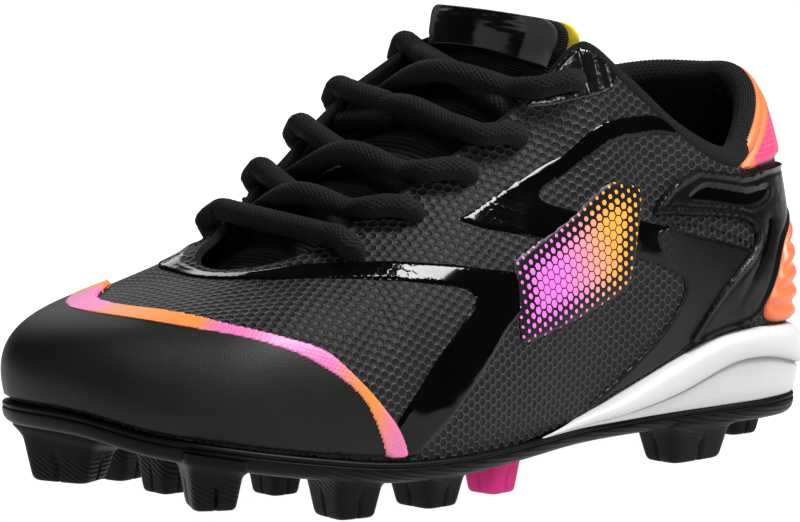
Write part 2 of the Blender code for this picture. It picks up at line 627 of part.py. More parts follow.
def tongue_label():
    """The plain label on the tongue's top, above the laces."""
    across = np.linspace(-LABEL_WIDTH, LABEL_WIDTH, ACROSS_TONGUE)[None]
    along = np.linspace(LABEL_FROM, LABEL_TO, TRIM_STATIONS)[:, None]
    faces = [tongue_face(across, along, -OVERLAY_GAP - more) for more in (0.0, LABEL)]
    return solid("tongue_label", slab(*faces), material("label_film", BLACK, 0.2))


def tube(name, path, radius, finish):
    """A round cord along a path, closed at both ends."""
    run = np.gradient(path, axis=0)
    run /= np.linalg.norm(run, axis=1, keepdims=True)
    side = np.cross(run, Z_AXIS)
    side /= np.linalg.norm(side, axis=1, keepdims=True)
    lift = np.cross(side, run)
    a = np.linspace(0, 2 * np.pi, LACE_SIDES + 1)[None, :, None]
    skin = path[:, None] + radius * (side[:, None] * np.cos(a) + lift[:, None] * np.sin(a))
    ends = [np.stack([np.repeat(path[k][None], LACE_SIDES + 1, axis=0), skin[k]]) for k in (0, -1)]
    return solid(name, [skin, *ends], finish)


def curve(points, count):
    """A smooth curve through the points, with rows at even steps between them."""
    points = np.asarray(points)
    padded = np.concatenate([2 * points[:1] - points[1:2], points, 2 * points[-1:] - points[-2:-1]])
    step = np.linspace(0, len(points) - 1, count)
    first = np.minimum(step.astype(int), len(points) - 2)
    f = (step - first)[:, None]
    a, b, c, d = (padded[first + k] for k in range(4))
    return b + 0.5 * f * (c - a + f * (2 * a - 5 * b + 4 * c - d + f * (3 * (b - c) + d - a)))


def beside(point, across):
    """Place along the tongue that comes nearest to a point, on the line at across."""
    along = np.linspace(0, 1, 201)
    return along[np.argmin(np.linalg.norm(tongue_face(across, along, 0.0) - point, axis=-1))]


def hole(row, side):
    """Where a lace comes over the throat's edge beside a hole, and where it meets the hole."""
    place = dict(zip(EYELET_COLUMNS, EYELETS[row]))
    name = ("outer", "inner")[side]
    at, height = place[f"{name}_at"], place[f"{name}_height"]
    clear = LACE / 2 + LACE_GAP
    edge, below, end = shell_offset(at, np.array([1.0, (1 + height) / 2, height]), clear)
    up = edge - below
    return edge + up * (LACE_OVER / np.linalg.norm(up)), end


def over_tongue(across, along):
    """Where a strand's middle lies over the tongue, or over its label."""
    over_label = LABEL * (along > LABEL_FROM - LACE_AHEAD)
    return tongue_face(np.array(across), np.array(along), -LACE / 2 - LACE_GAP - over_label)


def strand(row, side):
    """From under one edge at a row, over the tongue, to the hole at the other edge of the next row."""
    towards = (1, -1)[side]
    low = beside(hole(row, 1 - side)[0], -towards) + LACE_AHEAD
    high = beside(hole(row + 1, side)[0], towards)
    start = CROSSING_PLACES[0]
    points = [over_tongue(towards * a, low + (high - low) * (a - start)) for a in CROSSING_PLACES]
    return curve([*points, *hole(row + 1, side)], CROSSING_STATIONS)


def laces():
    """A bar at the lowest holes, then four crossings, each two strands joined where they cross."""
    finish = material("lace_cord", (0.012, LOW_EDGE, 0.013), 0.8)
    (outer_edge, outer_hole), (inner_edge, inner_hole) = hole(0, 0), hole(0, 1)
    edges = (inner_edge, outer_edge, outer_edge)
    low = [over_tongue(a, beside(edge, a)) for a, edge in zip(BAR_PLACES, edges)]
    path = curve([inner_hole, inner_edge, *low, outer_edge, outer_hole], BAR_STATIONS)
    tube("lace_bar", path, LACE / 2, finish)
    for row in range(len(EYELETS) - 1):
        kept = tube(f"lace_crossing_{row + 1}", strand(row, 0), LACE / 2, finish)
        other = tube(f"strand_{row + 1}", strand(row, 1), LACE / 2, finish)
        join_to(kept, other)


def centre(pieces):
    """Moves every piece so that the middle of the whole shoe's outline is over the origin."""
    points = np.array([v.co for piece in pieces for v in piece.data.vertices])
    middle = (points.min(axis=0) + points.max(axis=0)) / 2
    for piece in pieces:
        for v in piece.data.vertices:
            v.co.x -= middle[0]
            v.co.y -= middle[1]


def main():
    """Clears the scene, makes every piece and centres the shoe."""
    for old in list(bpy.data.objects):
        bpy.data.objects.remove(old)
    upper()
    outsole()
    accent_stud()
    midsole()
    insole()
    toe_cap()
    counter()
    heel_panel()
    heel_tab()
    tongue()
    tongue_lining()
    tongue_label()
    laces()
    centre(list(bpy.context.scene.objects))


main()
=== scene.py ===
"""Looks of the baseball cleat, a left shoe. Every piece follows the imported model, in metres: toe towards -Y,
outer side at +X, +Z up. The upper is one shell function of (s, t), as in the part: s counts sections round the
shoe, t runs from the sole edge to the opening. Films, caps and seams are patches cut from that shell."""

import math

import bpy
import numpy as np
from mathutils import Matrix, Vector


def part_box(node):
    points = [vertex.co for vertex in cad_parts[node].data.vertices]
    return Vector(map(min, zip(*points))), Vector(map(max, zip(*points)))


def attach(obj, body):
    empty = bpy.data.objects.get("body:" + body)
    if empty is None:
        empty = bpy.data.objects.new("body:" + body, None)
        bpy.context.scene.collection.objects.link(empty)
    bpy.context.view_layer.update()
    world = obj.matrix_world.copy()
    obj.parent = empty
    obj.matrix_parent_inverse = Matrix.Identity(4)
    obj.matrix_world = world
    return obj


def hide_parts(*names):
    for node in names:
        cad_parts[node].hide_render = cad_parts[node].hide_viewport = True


MM = 0.001

# Sizes of the part, in metres.
SHOE_LENGTH = 0.234
BALL_WIDTH = 0.094
THROAT_HEIGHT = 0.0883
STUD_HEIGHT = 0.0078
PLATE_THICKNESS = 0.0058
ARCH_LIFT = 0.0018
TOE_SPRING = 0.0146
HEEL_STACK = 0.0167
SOLE_LIP = 0.0020
WALL = 0.0020
COLLAR_PADDING = 0.0050
INSOLE_THICKNESS = 0.0030
INSOLE_INSET = 0.0028
FOOTBED_DISH = 0.0030
LACE = 0.0058
Z_AXIS = np.array([0.0, 0.0, 1.0])

# The upper's sections, as in the part: foot_x, edge_x, out and lean are shares of BALL_WIDTH; foot_y and edge_y
# of SHOE_LENGTH; spring and stack of TOE_SPRING and HEEL_STACK; edge_z, rise and drop of THROAT_HEIGHT.
SECTION_COLUMNS = ("foot_x", "foot_y", "spring", "stack", "edge_x", "edge_y", "edge_z", "out", "rise", "lean", "drop")
SECTIONS = {
    "toe": (-0.085, -0.464, 1.00, 0.00, -0.044, -0.232, 0.472, 0.062, 0.235, 0.389, 0.105),
    "toe_outer_front": (0.133, -0.453, 0.97, 0.00, 0.033, -0.228, 0.478, 0.065, 0.225, 0.367, 0.110),
    "toe_outer_corner": (0.289, -0.413, 0.70, 0.00, 0.111, -0.217, 0.494, 0.055, 0.211, 0.322, 0.110),
    "toe_outer_back": (0.406, -0.355, 0.49, 0.00, 0.161, -0.187, 0.517, 0.050, 0.233, 0.278, 0.111),
    "ball_outer_front": (0.478, -0.272, 0.25, 0.00, 0.183, -0.147, 0.556, 0.033, 0.256, 0.244, 0.133),
    "ball_outer": (0.511, -0.177, 0.03, 0.00, 0.200, -0.089, 0.628, 0.022, 0.267, 0.222, 0.156),
    "ball_outer_back": (0.500, -0.080, -0.05, 0.00, 0.211, -0.022, 0.717, 0.022, 0.289, 0.200, 0.178),
    "arch_outer_front": (0.456, 0.013, -0.04, 0.00, 0.217, 0.045, 0.806, 0.033, 0.311, 0.178, 0.222),
    "arch_outer": (0.400, 0.107, 0.00, 0.15, 0.228, 0.108, 0.905, 0.044, 0.333, 0.144, 0.267),
    "arch_outer_back": (0.367, 0.188, 0.00, 0.45, 0.250, 0.165, 1.028, 0.044, 0.311, 0.111, 0.311),
    "quarter_outer_front": (0.350, 0.259, 0.00, 0.76, 0.278, 0.224, 0.911, 0.044, 0.256, 0.067, 0.267),
    "quarter_outer": (0.344, 0.324, 0.00, 1.03, 0.306, 0.291, 0.755, 0.044, 0.200, 0.033, 0.200),
    "quarter_outer_back": (0.333, 0.386, 0.00, 1.08, 0.300, 0.362, 0.672, 0.033, 0.167, 0.022, 0.178),
    "heel_outer": (0.283, 0.442, 0.00, 1.03, 0.233, 0.415, 0.733, 0.033, 0.189, 0.045, 0.200),
    "heel_outer_back": (0.170, 0.472, 0.00, 0.97, 0.122, 0.460, 0.816, 0.020, 0.211, 0.080, 0.222),
    "heel": (0.022, 0.479, 0.00, 0.97, 0.014, 0.473, 0.872, 0.010, 0.222, 0.110, 0.278),
    "heel_inner_back": (-0.128, 0.480, 0.00, 0.97, -0.100, 0.463, 0.871, 0.033, 0.222, 0.080, 0.222),
    "heel_inner": (-0.244, 0.445, 0.00, 1.00, -0.211, 0.422, 0.867, 0.033, 0.222, 0.045, 0.200),
    "quarter_inner_back": (-0.311, 0.386, 0.00, 1.03, -0.278, 0.367, 0.844, 0.033, 0.222, 0.022, 0.200),
    "quarter_inner": (-0.322, 0.308, 0.00, 1.00, -0.300, 0.295, 0.811, 0.044, 0.222, 0.033, 0.200),
    "quarter_inner_front": (-0.300, 0.221, 0.00, 0.74, -0.319, 0.214, 0.888, 0.067, 0.256, 0.067, 0.244),
    "arch_inner_back": (-0.278, 0.134, 0.00, 0.40, -0.325, 0.158, 1.000, 0.089, 0.289, 0.111, 0.289),
    "arch_inner": (-0.289, 0.036, 0.00, 0.12, -0.323, 0.063, 0.910, 0.089, 0.300, 0.144, 0.267),
    "arch_inner_front": (-0.356, -0.063, -0.03, 0.00, -0.298, -0.009, 0.809, 0.067, 0.289, 0.167, 0.222),
    "ball_inner_back": (-0.422, -0.152, 0.00, 0.00, -0.277, -0.062, 0.712, 0.044, 0.267, 0.178, 0.178),
    "ball_inner": (-0.467, -0.223, 0.14, 0.00, -0.250, -0.126, 0.608, 0.033, 0.256, 0.200, 0.156),
    "ball_inner_front": (-0.456, -0.299, 0.38, 0.00, -0.200, -0.175, 0.539, 0.044, 0.240, 0.244, 0.133),
    "toe_inner_back": (-0.378, -0.366, 0.66, 0.00, -0.156, -0.213, 0.506, 0.055, 0.240, 0.289, 0.130),
    "toe_inner_corner": (-0.250, -0.424, 0.88, 0.00, -0.106, -0.230, 0.483, 0.065, 0.235, 0.344, 0.115),
}
COUNT = len(SECTIONS)
HEEL = list(SECTIONS).index("heel")
COLLAR_FROM = list(SECTIONS).index("arch_outer_back") - 0.3
COLLAR_TO = list(SECTIONS).index("arch_inner_back") + 0.3
COLLAR_RAMP = 1.5
PADDING_FROM = 0.45
ARCH_PLACE = 6.5
ARCH_SPREAD = 3.0


def periodic(values, at):
    """Catmull-Rom curve through the rows of values, closed on itself, at positions counted in rows."""
    count = len(values)
    first = np.floor(at).astype(int)
    f = (at - first)[..., None]
    a, b, c, d = (values[(first + k) % count] for k in (-1, 0, 1, 2))
    return b + 0.5 * f * (c - a + f * (2 * a - 5 * b + 4 * c - d + f * (3 * (b - c) + d - a)))


def section_values():
    """Foot, low handle, high handle and edge of each section, in metres."""
    rows = np.array(list(SECTIONS.values()))
    share = dict(zip(SECTION_COLUMNS, rows.T))
    ground = STUD_HEIGHT + PLATE_THICKNESS
    foot_z = ground + share["spring"] * TOE_SPRING + share["stack"] * HEEL_STACK
    foot = np.column_stack([share["foot_x"] * BALL_WIDTH, share["foot_y"] * SHOE_LENGTH, foot_z])
    edge_z = ground + share["edge_z"] * THROAT_HEIGHT
    edge = np.column_stack([share["edge_x"] * BALL_WIDTH, share["edge_y"] * SHOE_LENGTH, edge_z])
    along = np.roll(foot, -1, axis=0) - np.roll(foot, 1, axis=0)
    outward = np.column_stack([along[:, 1], -along[:, 0], np.zeros(len(rows))])
    outward /= np.linalg.norm(outward, axis=1, keepdims=True)
    low = foot + outward * (share["out"] * BALL_WIDTH)[:, None] + Z_AXIS * (share["rise"] * THROAT_HEIGHT)[:, None]
    high = edge + outward * (share["lean"] * BALL_WIDTH)[:, None] - Z_AXIS * (share["drop"] * THROAT_HEIGHT)[:, None]
    return foot, low, high, edge


FOOT, LOW, HIGH, EDGE = section_values()


def shell(s, t):
    """Outer face of the upper: in each section a cubic Bezier curve from foot to edge."""
    foot, low, high, edge = (periodic(points, s) for points in (FOOT, LOW, HIGH, EDGE))
    t = np.asarray(t)[..., None]
    return (1 - t) ** 3 * foot + 3 * t * (1 - t) ** 2 * low + 3 * t**2 * (1 - t) * high + t**3 * edge


def unit(vectors):
    """Vectors scaled to length 1."""
    return vectors / np.maximum(np.linalg.norm(vectors, axis=-1, keepdims=True), 1e-12)


def shell_normal(s, t):
    """The outward normal, from the shell's steps round and up."""
    step = 1e-3
    along = shell(s + step, t) - shell(s - step, t)
    up = shell(s, t + step) - shell(s, t - step)
    return unit(np.cross(along, up))


def shell_offset(s, t, depth):
    """Points of the shell moved out along its normal."""
    s, t, depth = np.broadcast_arrays(np.asarray(s, float), np.asarray(t, float), np.asarray(depth, float))
    return shell(s, t) + shell_normal(s, t) * depth[..., None] + SHIFT


def smooth(value):
    """0 below 0, 1 above 1, with a soft start and end."""
    value = np.clip(value, 0, 1)
    return value * value * (3 - 2 * value)


def wall(s, t):
    s = s % COUNT
    collar = smooth((s - COLLAR_FROM) / COLLAR_RAMP) * smooth((COLLAR_TO - s) / COLLAR_RAMP)
    return WALL + COLLAR_PADDING * collar * smooth((t - PADDING_FROM) / (1 - PADDING_FROM))


def column(name, s):
    rows = np.array(list(SECTIONS.values()))
    return periodic(rows[:, SECTION_COLUMNS.index(name)][:, None], s)[..., 0]


def foot_ring(s, out, height):
    """Sole edge of the upper moved outwards in plan, at the height given."""
    step = 1e-3
    along = periodic(FOOT, s + step) - periodic(FOOT, s - step)
    outward = unit(np.stack([along[:, 1], -along[:, 0]], axis=-1))
    plan = periodic(FOOT, s)[:, :2] + outward * np.broadcast_to(out, s.shape)[:, None]
    return np.column_stack([plan, np.broadcast_to(height, s.shape)]) + SHIFT


def plate_top(s):
    """Height of the plate's upper face."""
    return STUD_HEIGHT + PLATE_THICKNESS + column("spring", s) * TOE_SPRING


def foot_height(s):
    """Height of the sole edge of the upper."""
    return plate_top(s) + column("stack", s) * HEEL_STACK


def plate_bottom(s):
    """Height of the plate's underside."""
    arch = np.exp(-(((np.abs(s % COUNT - HEEL) - ARCH_PLACE) / ARCH_SPREAD) ** 2))
    return STUD_HEIGHT + ARCH_LIFT * arch + column("spring", s) * TOE_SPRING


# The part is centred on its own outline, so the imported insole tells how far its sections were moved.
SHIFT = np.zeros(3)


def packed_shift():
    """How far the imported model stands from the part's own origin."""
    s = np.linspace(0, COUNT, 400)
    ring = foot_ring(s, -INSOLE_INSET, 0.0)
    low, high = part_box("insole")
    middle = (ring.min(axis=0) + ring.max(axis=0)) / 2
    return np.array([(low.x + high.x) / 2 - middle[0], (low.y + high.y) / 2 - middle[1], 0.0])


# A flat chart of the shell: distance round the shoe and distance up each section, in metres.
CHART_S = np.linspace(HEEL - COUNT, HEEL + 8, 37 * 16 + 1)
CHART_T = np.linspace(0, 1, 61)
CHART_LEVEL = 0.6


def chart_lengths():
    """Lengths round the shoe and up each section, added up over short chords."""
    ring = shell(CHART_S, np.full(len(CHART_S), CHART_LEVEL))
    around = np.concatenate([[0], np.cumsum(np.linalg.norm(np.diff(ring, axis=0), axis=1))])
    net = shell(CHART_S[:, None], CHART_T[None])
    steps = np.linalg.norm(np.diff(net, axis=1), axis=2)
    up = np.concatenate([np.zeros((len(CHART_S), 1)), np.cumsum(steps, axis=1)], axis=1)
    return around, up


AROUND, UP = chart_lengths()


def to_chart(s, t):
    """Distance round the shoe and height up the shell, read between the points of the measured chart."""
    s, t = np.broadcast_arrays(np.asarray(s, float), np.asarray(t, float))
    column_at = np.clip((s - CHART_S[0]) / (CHART_S[1] - CHART_S[0]), 0, len(CHART_S) - 1.001)
    row_at = np.clip(t, 0, 1) * (len(CHART_T) - 1.001)
    i, j = column_at.astype(int), row_at.astype(int)
    f, g = column_at - i, row_at - j
    near, far = (UP[i, k] * (1 - f) + UP[i + 1, k] * f for k in (j, j + 1))
    return np.interp(s, CHART_S, AROUND), near * (1 - g) + far * g


def from_chart(around, up):
    """(s, t) of a grid whose columns share one distance round the shoe. around: (n,); up: (n, m)."""
    s = np.interp(around, AROUND, CHART_S)
    at = (s - CHART_S[0]) / (CHART_S[1] - CHART_S[0])
    i = np.clip(at.astype(int), 0, len(CHART_S) - 2)
    f = (at - i)[:, None]
    lengths = UP[i] * (1 - f) + UP[i + 1] * f
    t = np.stack([np.interp(row, length, CHART_T) for row, length in zip(up, lengths)])
    return np.broadcast_to(s[:, None], t.shape), t


def grid_faces(rows, columns, start=0):
    """Squares between the neighbours of a grid of points, counted row by row."""
    corner = start + np.arange(rows - 1)[:, None] * columns + np.arange(columns - 1)[None]
    return np.stack([corner, corner + columns, corner + columns + 1, corner + 1], axis=-1).reshape(-1, 4)


# The cloth of the upper laid flat: a horseshoe, open at the heel, that keeps lengths as well as a flat sheet can.
FLAT_S = np.linspace(HEEL - COUNT, HEEL, 88)
FLAT_T = np.linspace(0, 1, 12)


def flat_cloth(rounds=25):
    """Each triangle of the shell is turned into the plane unstretched, and the corners settle where the triangles'
    pulls balance, from a start where each section lies outwards from its top edge."""
    net = shell(FLAT_S[:, None], FLAT_T[None])
    edge, top = net[:, -1], np.linalg.norm(np.diff(net, axis=1), axis=2)
    length = np.concatenate([np.cumsum(top[:, ::-1], axis=1)[:, ::-1], np.zeros((len(FLAT_S), 1))], axis=1)
    along = np.gradient(periodic(FOOT, FLAT_S), axis=0)[:, :2]
    outward = unit(np.column_stack([along[:, 1], -along[:, 0]]))
    flat = (edge[:, None, :2] + outward[:, None] * length[..., None]).reshape(-1, 2)
    points = net.reshape(-1, 3)
    quads = grid_faces(len(FLAT_S), len(FLAT_T))
    triangles = np.concatenate([quads[:, :3], quads[:, [0, 2, 3]]])
    a, b, c = (points[triangles[:, k]] for k in range(3))
    width = np.linalg.norm(b - a, axis=1)
    x_axis = (b - a) / width[:, None]
    inward = (c - a) - ((c - a) * x_axis).sum(1)[:, None] * x_axis
    local = np.zeros((len(triangles), 3, 2))
    local[:, 1, 0] = width
    local[:, 2, 0], local[:, 2, 1] = ((c - a) * x_axis).sum(1), np.linalg.norm(inward, axis=1)
    count = len(points)
    pull = np.zeros((count, count))
    weights = []
    for k in range(3):
        i, j, other = (triangles[:, (k + m) % 3] for m in range(3))
        p, q = local[:, k] - local[:, (k + 2) % 3], local[:, (k + 1) % 3] - local[:, (k + 2) % 3]
        cross = np.abs(p[:, 0] * q[:, 1] - p[:, 1] * q[:, 0])
        weight = np.maximum((p * q).sum(1) / cross, 0.05)
        weights.append(weight)
        np.add.at(pull, (i, i), weight)
        np.add.at(pull, (j, j), weight)
        np.add.at(pull, (i, j), -weight)
        np.add.at(pull, (j, i), -weight)
    pull[0, 0] += 1.0
    settle = np.linalg.inv(pull)
    first, second = (flat[triangles[:, k]] - flat[triangles[:, 0]] for k in (1, 2))
    if np.median(first[:, 0] * second[:, 1] - first[:, 1] * second[:, 0]) < 0:
        flat = flat * [-1, 1]
    for _ in range(rounds):
        spread = np.zeros((len(triangles), 2, 2))
        for k, weight in enumerate(weights):
            i, j = triangles[:, k], triangles[:, (k + 1) % 3]
            e = local[:, k] - local[:, (k + 1) % 3]
            spread += weight[:, None, None] * (flat[i] - flat[j])[:, :, None] * e[:, None, :]
        u, _, v = np.linalg.svd(spread)
        v[:, 1] *= np.sign(np.linalg.det(u @ v))[:, None]
        turn = u @ v
        goal = np.zeros((count, 2))
        for k, weight in enumerate(weights):
            i, j = triangles[:, k], triangles[:, (k + 1) % 3]
            e = weight[:, None] * np.einsum("nab,nb->na", turn, local[:, k] - local[:, (k + 1) % 3])
            np.add.at(goal, i, e)
            np.add.at(goal, j, -e)
        flat = settle @ goal
    return flat.reshape(len(FLAT_S), len(FLAT_T), 2)


FLAT = flat_cloth()


def on_cloth(s, t):
    """Places on the flat cloth, in millimetres, for places on the shell."""
    s, t = np.broadcast_arrays(np.asarray(s, float), np.asarray(t, float))
    row = np.clip((s - FLAT_S[0]) / (FLAT_S[1] - FLAT_S[0]), 0, len(FLAT_S) - 1.001)
    place = np.clip(t, 0, 1) * (len(FLAT_T) - 1.001)
    i, j = row.astype(int), place.astype(int)
    f, g = (row - i)[..., None], (place - j)[..., None]
    low = FLAT[i, j] * (1 - f) + FLAT[i + 1, j] * f
    high = FLAT[i, j + 1] * (1 - f) + FLAT[i + 1, j + 1] * f
    return (low * (1 - g) + high * g) / MM


def inner(outline):
    """The same outline on the inner side of the shoe, where s runs below 0 on the chart."""
    points = np.array(outline, float)
    s = np.where(points[:, 0] < 2, -points[:, 0] / 2, 2 * HEEL - COUNT - points[:, 0])
    return np.column_stack([s, points[:, 1]])[::-1]


def past_heel(outline):
    """The same line on the inner side of the shoe, counted on from the heel."""
    points = np.array(outline, float)
    return np.column_stack([2 * HEEL - points[:, 0], points[:, 1]])[::-1]


def as_outer(s):
    """The place on the outer side that mirrors each place on the chart."""
    inner_side = np.where(s < -1, 2 * HEEL - COUNT - s, -2 * s)
    return np.where(s > HEEL, 2 * HEEL - s, np.where(s < 0, inner_side, s))


def rounded(outline, rounds=3):
    """A closed outline with its corners cut by turns, so that it curves."""
    points = np.array(outline, float)
    for _ in range(rounds):
        following = np.roll(points, -1, axis=0)
        points = np.stack([points * 0.75 + following * 0.25, points * 0.25 + following * 0.75], axis=1).reshape(-1, 2)
    return points


def reach(points, outline):
    """How far inside a closed outline each point lies, below 0 outside, and the nearest point of the outline."""
    best = np.full(len(points), np.inf)
    nearest = np.zeros_like(points)
    crossings = np.zeros(len(points), int)
    for a, b in zip(outline, np.roll(outline, -1, axis=0)):
        run = b - a
        share = np.clip((points - a) @ run / max(run @ run, 1e-18), 0, 1)
        foot = a + share[:, None] * run
        gap = np.linalg.norm(points - foot, axis=1)
        closer = gap < best
        best[closer] = gap[closer]
        nearest[closer] = foot[closer]
        if a[1] != b[1]:
            spans = (a[1] > points[:, 1]) != (b[1] > points[:, 1])
            crossings += spans & (points[:, 0] < a[0] + (points[:, 1] - a[1]) * run[0] / run[1])
    return np.where(crossings % 2 == 1, best, -best), nearest


def depth_in(s, t, outline):
    """Distance inside an outline given in (s, t), measured on the chart, for arrays of any shape."""
    around, up = to_chart(s, t)
    flat = np.column_stack([around.ravel(), up.ravel()])
    edge = np.column_stack(to_chart(*rounded(outline).T))
    return reach(flat, edge)[0].reshape(around.shape)


# Meshes


def mesh_piece(name, points, faces, finish, slot, uv=None, values=None, crease=None, replaces=()):
    """A piece from arrays of points and faces. values are numbers kept at its points for its material."""
    mesh = bpy.data.meshes.new(name)
    mesh.from_pydata(points.tolist(), [], faces.tolist() if isinstance(faces, np.ndarray) else faces)
    if uv is not None:
        corner = np.empty(len(mesh.loops), np.int32)
        mesh.loops.foreach_get("vertex_index", corner)
        layer = mesh.uv_layers.new(name="surface")
        layer.data.foreach_set("uv", uv[corner].astype(np.float32).ravel())
    for key, numbers in (values or {}).items():
        mesh.attributes.new(key, "FLOAT", "POINT").data.foreach_set("value", numbers.astype(np.float32))
    mesh.materials.append(finish)
    mesh.shade_smooth()
    if crease is not None:
        mesh.set_sharp_from_angle(angle=math.radians(crease))
    piece = bpy.data.objects.new(name, mesh)
    bpy.context.scene.collection.objects.link(piece)
    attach(piece, "root")
    if replaces:
        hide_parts(*replaces)
    return piece


def grid_piece(name, points, finish, slot, uv, **more):
    """A piece that is one grid of points, shape (rows, columns, 3)."""
    rows, columns = points.shape[:2]
    faces = grid_faces(rows, columns)
    flat_values = {key: np.broadcast_to(v, (rows, columns)).ravel() for key, v in more.pop("values", {}).items()}
    uv = np.stack(np.broadcast_arrays(*uv), axis=-1).reshape(-1, 2)
    return mesh_piece(name, points.reshape(-1, 3), faces, finish, slot, uv, flat_values, **more)


def patch(name, outline, step, height, finish, slot, sink=0.3 * MM, values=None, on_relief=False, **more):
    """A piece that lies on the upper inside an outline of (s, t) points. A net of squares on the chart is cut at
    the outline, its border points are drawn on to it, and a skirt closes it down into the surface below.
    height(inset, s, t) says how far each point stands off the shell; inset is its distance from the outline."""
    edge = np.column_stack(to_chart(*rounded(outline).T))
    around = np.arange(edge[:, 0].min() - step, edge[:, 0].max() + 2 * step, step)
    up = np.arange(edge[:, 1].min() - step, edge[:, 1].max() + 2 * step, step)
    net = np.stack(np.meshgrid(around, up, indexing="ij"), axis=-1)
    shape = net.shape[:2]
    inset, nearest = reach(net.reshape(-1, 2), edge)
    centres = (net[:-1, :-1] + net[1:, 1:]).reshape(-1, 2) / 2
    kept = reach(centres, edge)[0] > 0
    faces = grid_faces(*shape)[kept]
    sides = np.sort(np.concatenate([faces[:, [k, (k + 1) % 4]] for k in range(4)]), axis=1)
    pairs, count = np.unique(sides, axis=0, return_counts=True)
    moved = inset < 0.2 * step
    moved[pairs[count == 1].ravel()] = True
    flat = net.reshape(-1, 2).copy()
    flat[moved] = nearest[moved]
    inset = np.where(moved, 0.0, inset)
    used, faces = np.unique(faces, return_inverse=True)
    faces = faces.reshape(-1, 4)
    flat, inset = flat[used], inset[used]
    s, t = from_chart(flat[:, 0], flat[:, 1:])
    s, t = s[:, 0], t[:, 0]
    ground = upper_relief(s, t) if on_relief else np.zeros(len(s))
    top = shell_offset(s, t, ground + height(inset, s, t))
    sides = np.concatenate([faces[:, [k, (k + 1) % 4]] for k in range(4)])
    key = np.sort(sides, axis=1)
    _, first, count = np.unique(key, axis=0, return_index=True, return_counts=True)
    border = sides[first[count == 1]]
    rim, place = np.unique(border, return_inverse=True)
    low = len(flat) + place.reshape(-1, 2)
    skirt = np.stack([border[:, 1], border[:, 0], low[:, 0], low[:, 1]], axis=1)
    points = np.concatenate([top, shell_offset(s[rim], t[rim], ground[rim] - sink)])
    whole = np.concatenate([np.arange(len(flat)), rim])
    kept_values = {"inset": inset[whole] / MM, "place_s": s[whole], "place_t": t[whole]}
    kept_values["outer_s"] = as_outer(s[whole])
    for key_name, rule in (values or {}).items():
        kept_values[key_name] = rule(s[whole], t[whole])
    uv = on_cloth(s[whole], t[whole]) if s.max() < HEEL else flat[whole] / MM
    return mesh_piece(
        name, points, np.concatenate([faces, skirt]), finish, slot, uv, kept_values, crease=50, **more
    )


def film_height(thickness, round_off):
    """Height of a film whose edge rounds down over round_off."""

    def height(inset, s, t):
        fall = np.clip(1 - inset / round_off, 0, 1)
        return thickness * (0.35 + 0.65 * np.sqrt(1 - fall**2))

    return height


def tube_grid(path, radius, sides, lift=None, flat=1.0):
    """Rings round a path. radius may vary along it; flat below 1 makes the section oval."""
    run = unit(np.gradient(path, axis=0))
    up = unit(np.broadcast_to(Z_AXIS if lift is None else lift, path.shape) + 1e-6)
    side = unit(np.cross(run, up))
    up = np.cross(side, run)
    a = np.linspace(0, 2 * np.pi, sides + 1)[None, :, None]
    radius = np.broadcast_to(radius, (len(path), sides + 1))[..., None]
    return path[:, None] + radius * (side[:, None] * np.cos(a) + up[:, None] * np.sin(a) * flat)


def curve(points, count):
    """A smooth curve through the points, with steps of even length."""
    points = np.asarray(points, float)
    padded = np.concatenate([2 * points[:1] - points[1:2], points, 2 * points[-1:] - points[-2:-1]])
    fine = np.linspace(0, len(points) - 1, 40 * len(points))
    first = np.minimum(fine.astype(int), len(points) - 2)
    f = (fine - first)[:, None]
    a, b, c, d = (padded[first + k] for k in range(4))
    line = b + 0.5 * f * (c - a + f * (2 * a - 5 * b + 4 * c - d + f * (3 * (b - c) + d - a)))
    length = np.concatenate([[0], np.cumsum(np.linalg.norm(np.diff(line, axis=0), axis=1))])
    at = np.linspace(0, length[-1], count)
    return np.stack([np.interp(at, length, c) for c in line.T], axis=1)


# Finishes


class Signal:
    """A number that varies over a surface, as a node's output; sums and products of signals add Math nodes."""

    def __init__(self, tree, socket):
        self.tree, self.socket = tree, socket

    def math(self, operation, *others):
        node = self.tree.nodes.new("ShaderNodeMath")
        node.operation = operation
        for place, value in zip(node.inputs, (self, *others)):
            if isinstance(value, Signal):
                self.tree.links.new(value.socket, place)
            else:
                place.default_value = value
        return Signal(self.tree, node.outputs[0])

    def __add__(self, other):
        return self.math("ADD", other)

    def __sub__(self, other):
        return self.math("SUBTRACT", other)

    def __mul__(self, other):
        return self.math("MULTIPLY", other)

    def __truediv__(self, other):
        return self.math("DIVIDE", other)

    __radd__ = __add__
    __rmul__ = __mul__

    def __rsub__(self, other):
        return (self * -1.0) + other

    def ramp(self, low, high):
        """0 at low, 1 at high, with soft ends; low may lie above high."""
        node = self.tree.nodes.new("ShaderNodeMapRange")
        node.interpolation_type = "SMOOTHSTEP"
        self.tree.links.new(self.socket, node.inputs["Value"])
        start, end = min(low, high), max(low, high)
        node.inputs["From Min"].default_value, node.inputs["From Max"].default_value = start, end
        found = Signal(self.tree, node.outputs["Result"])
        return found if low < high else 1.0 - found


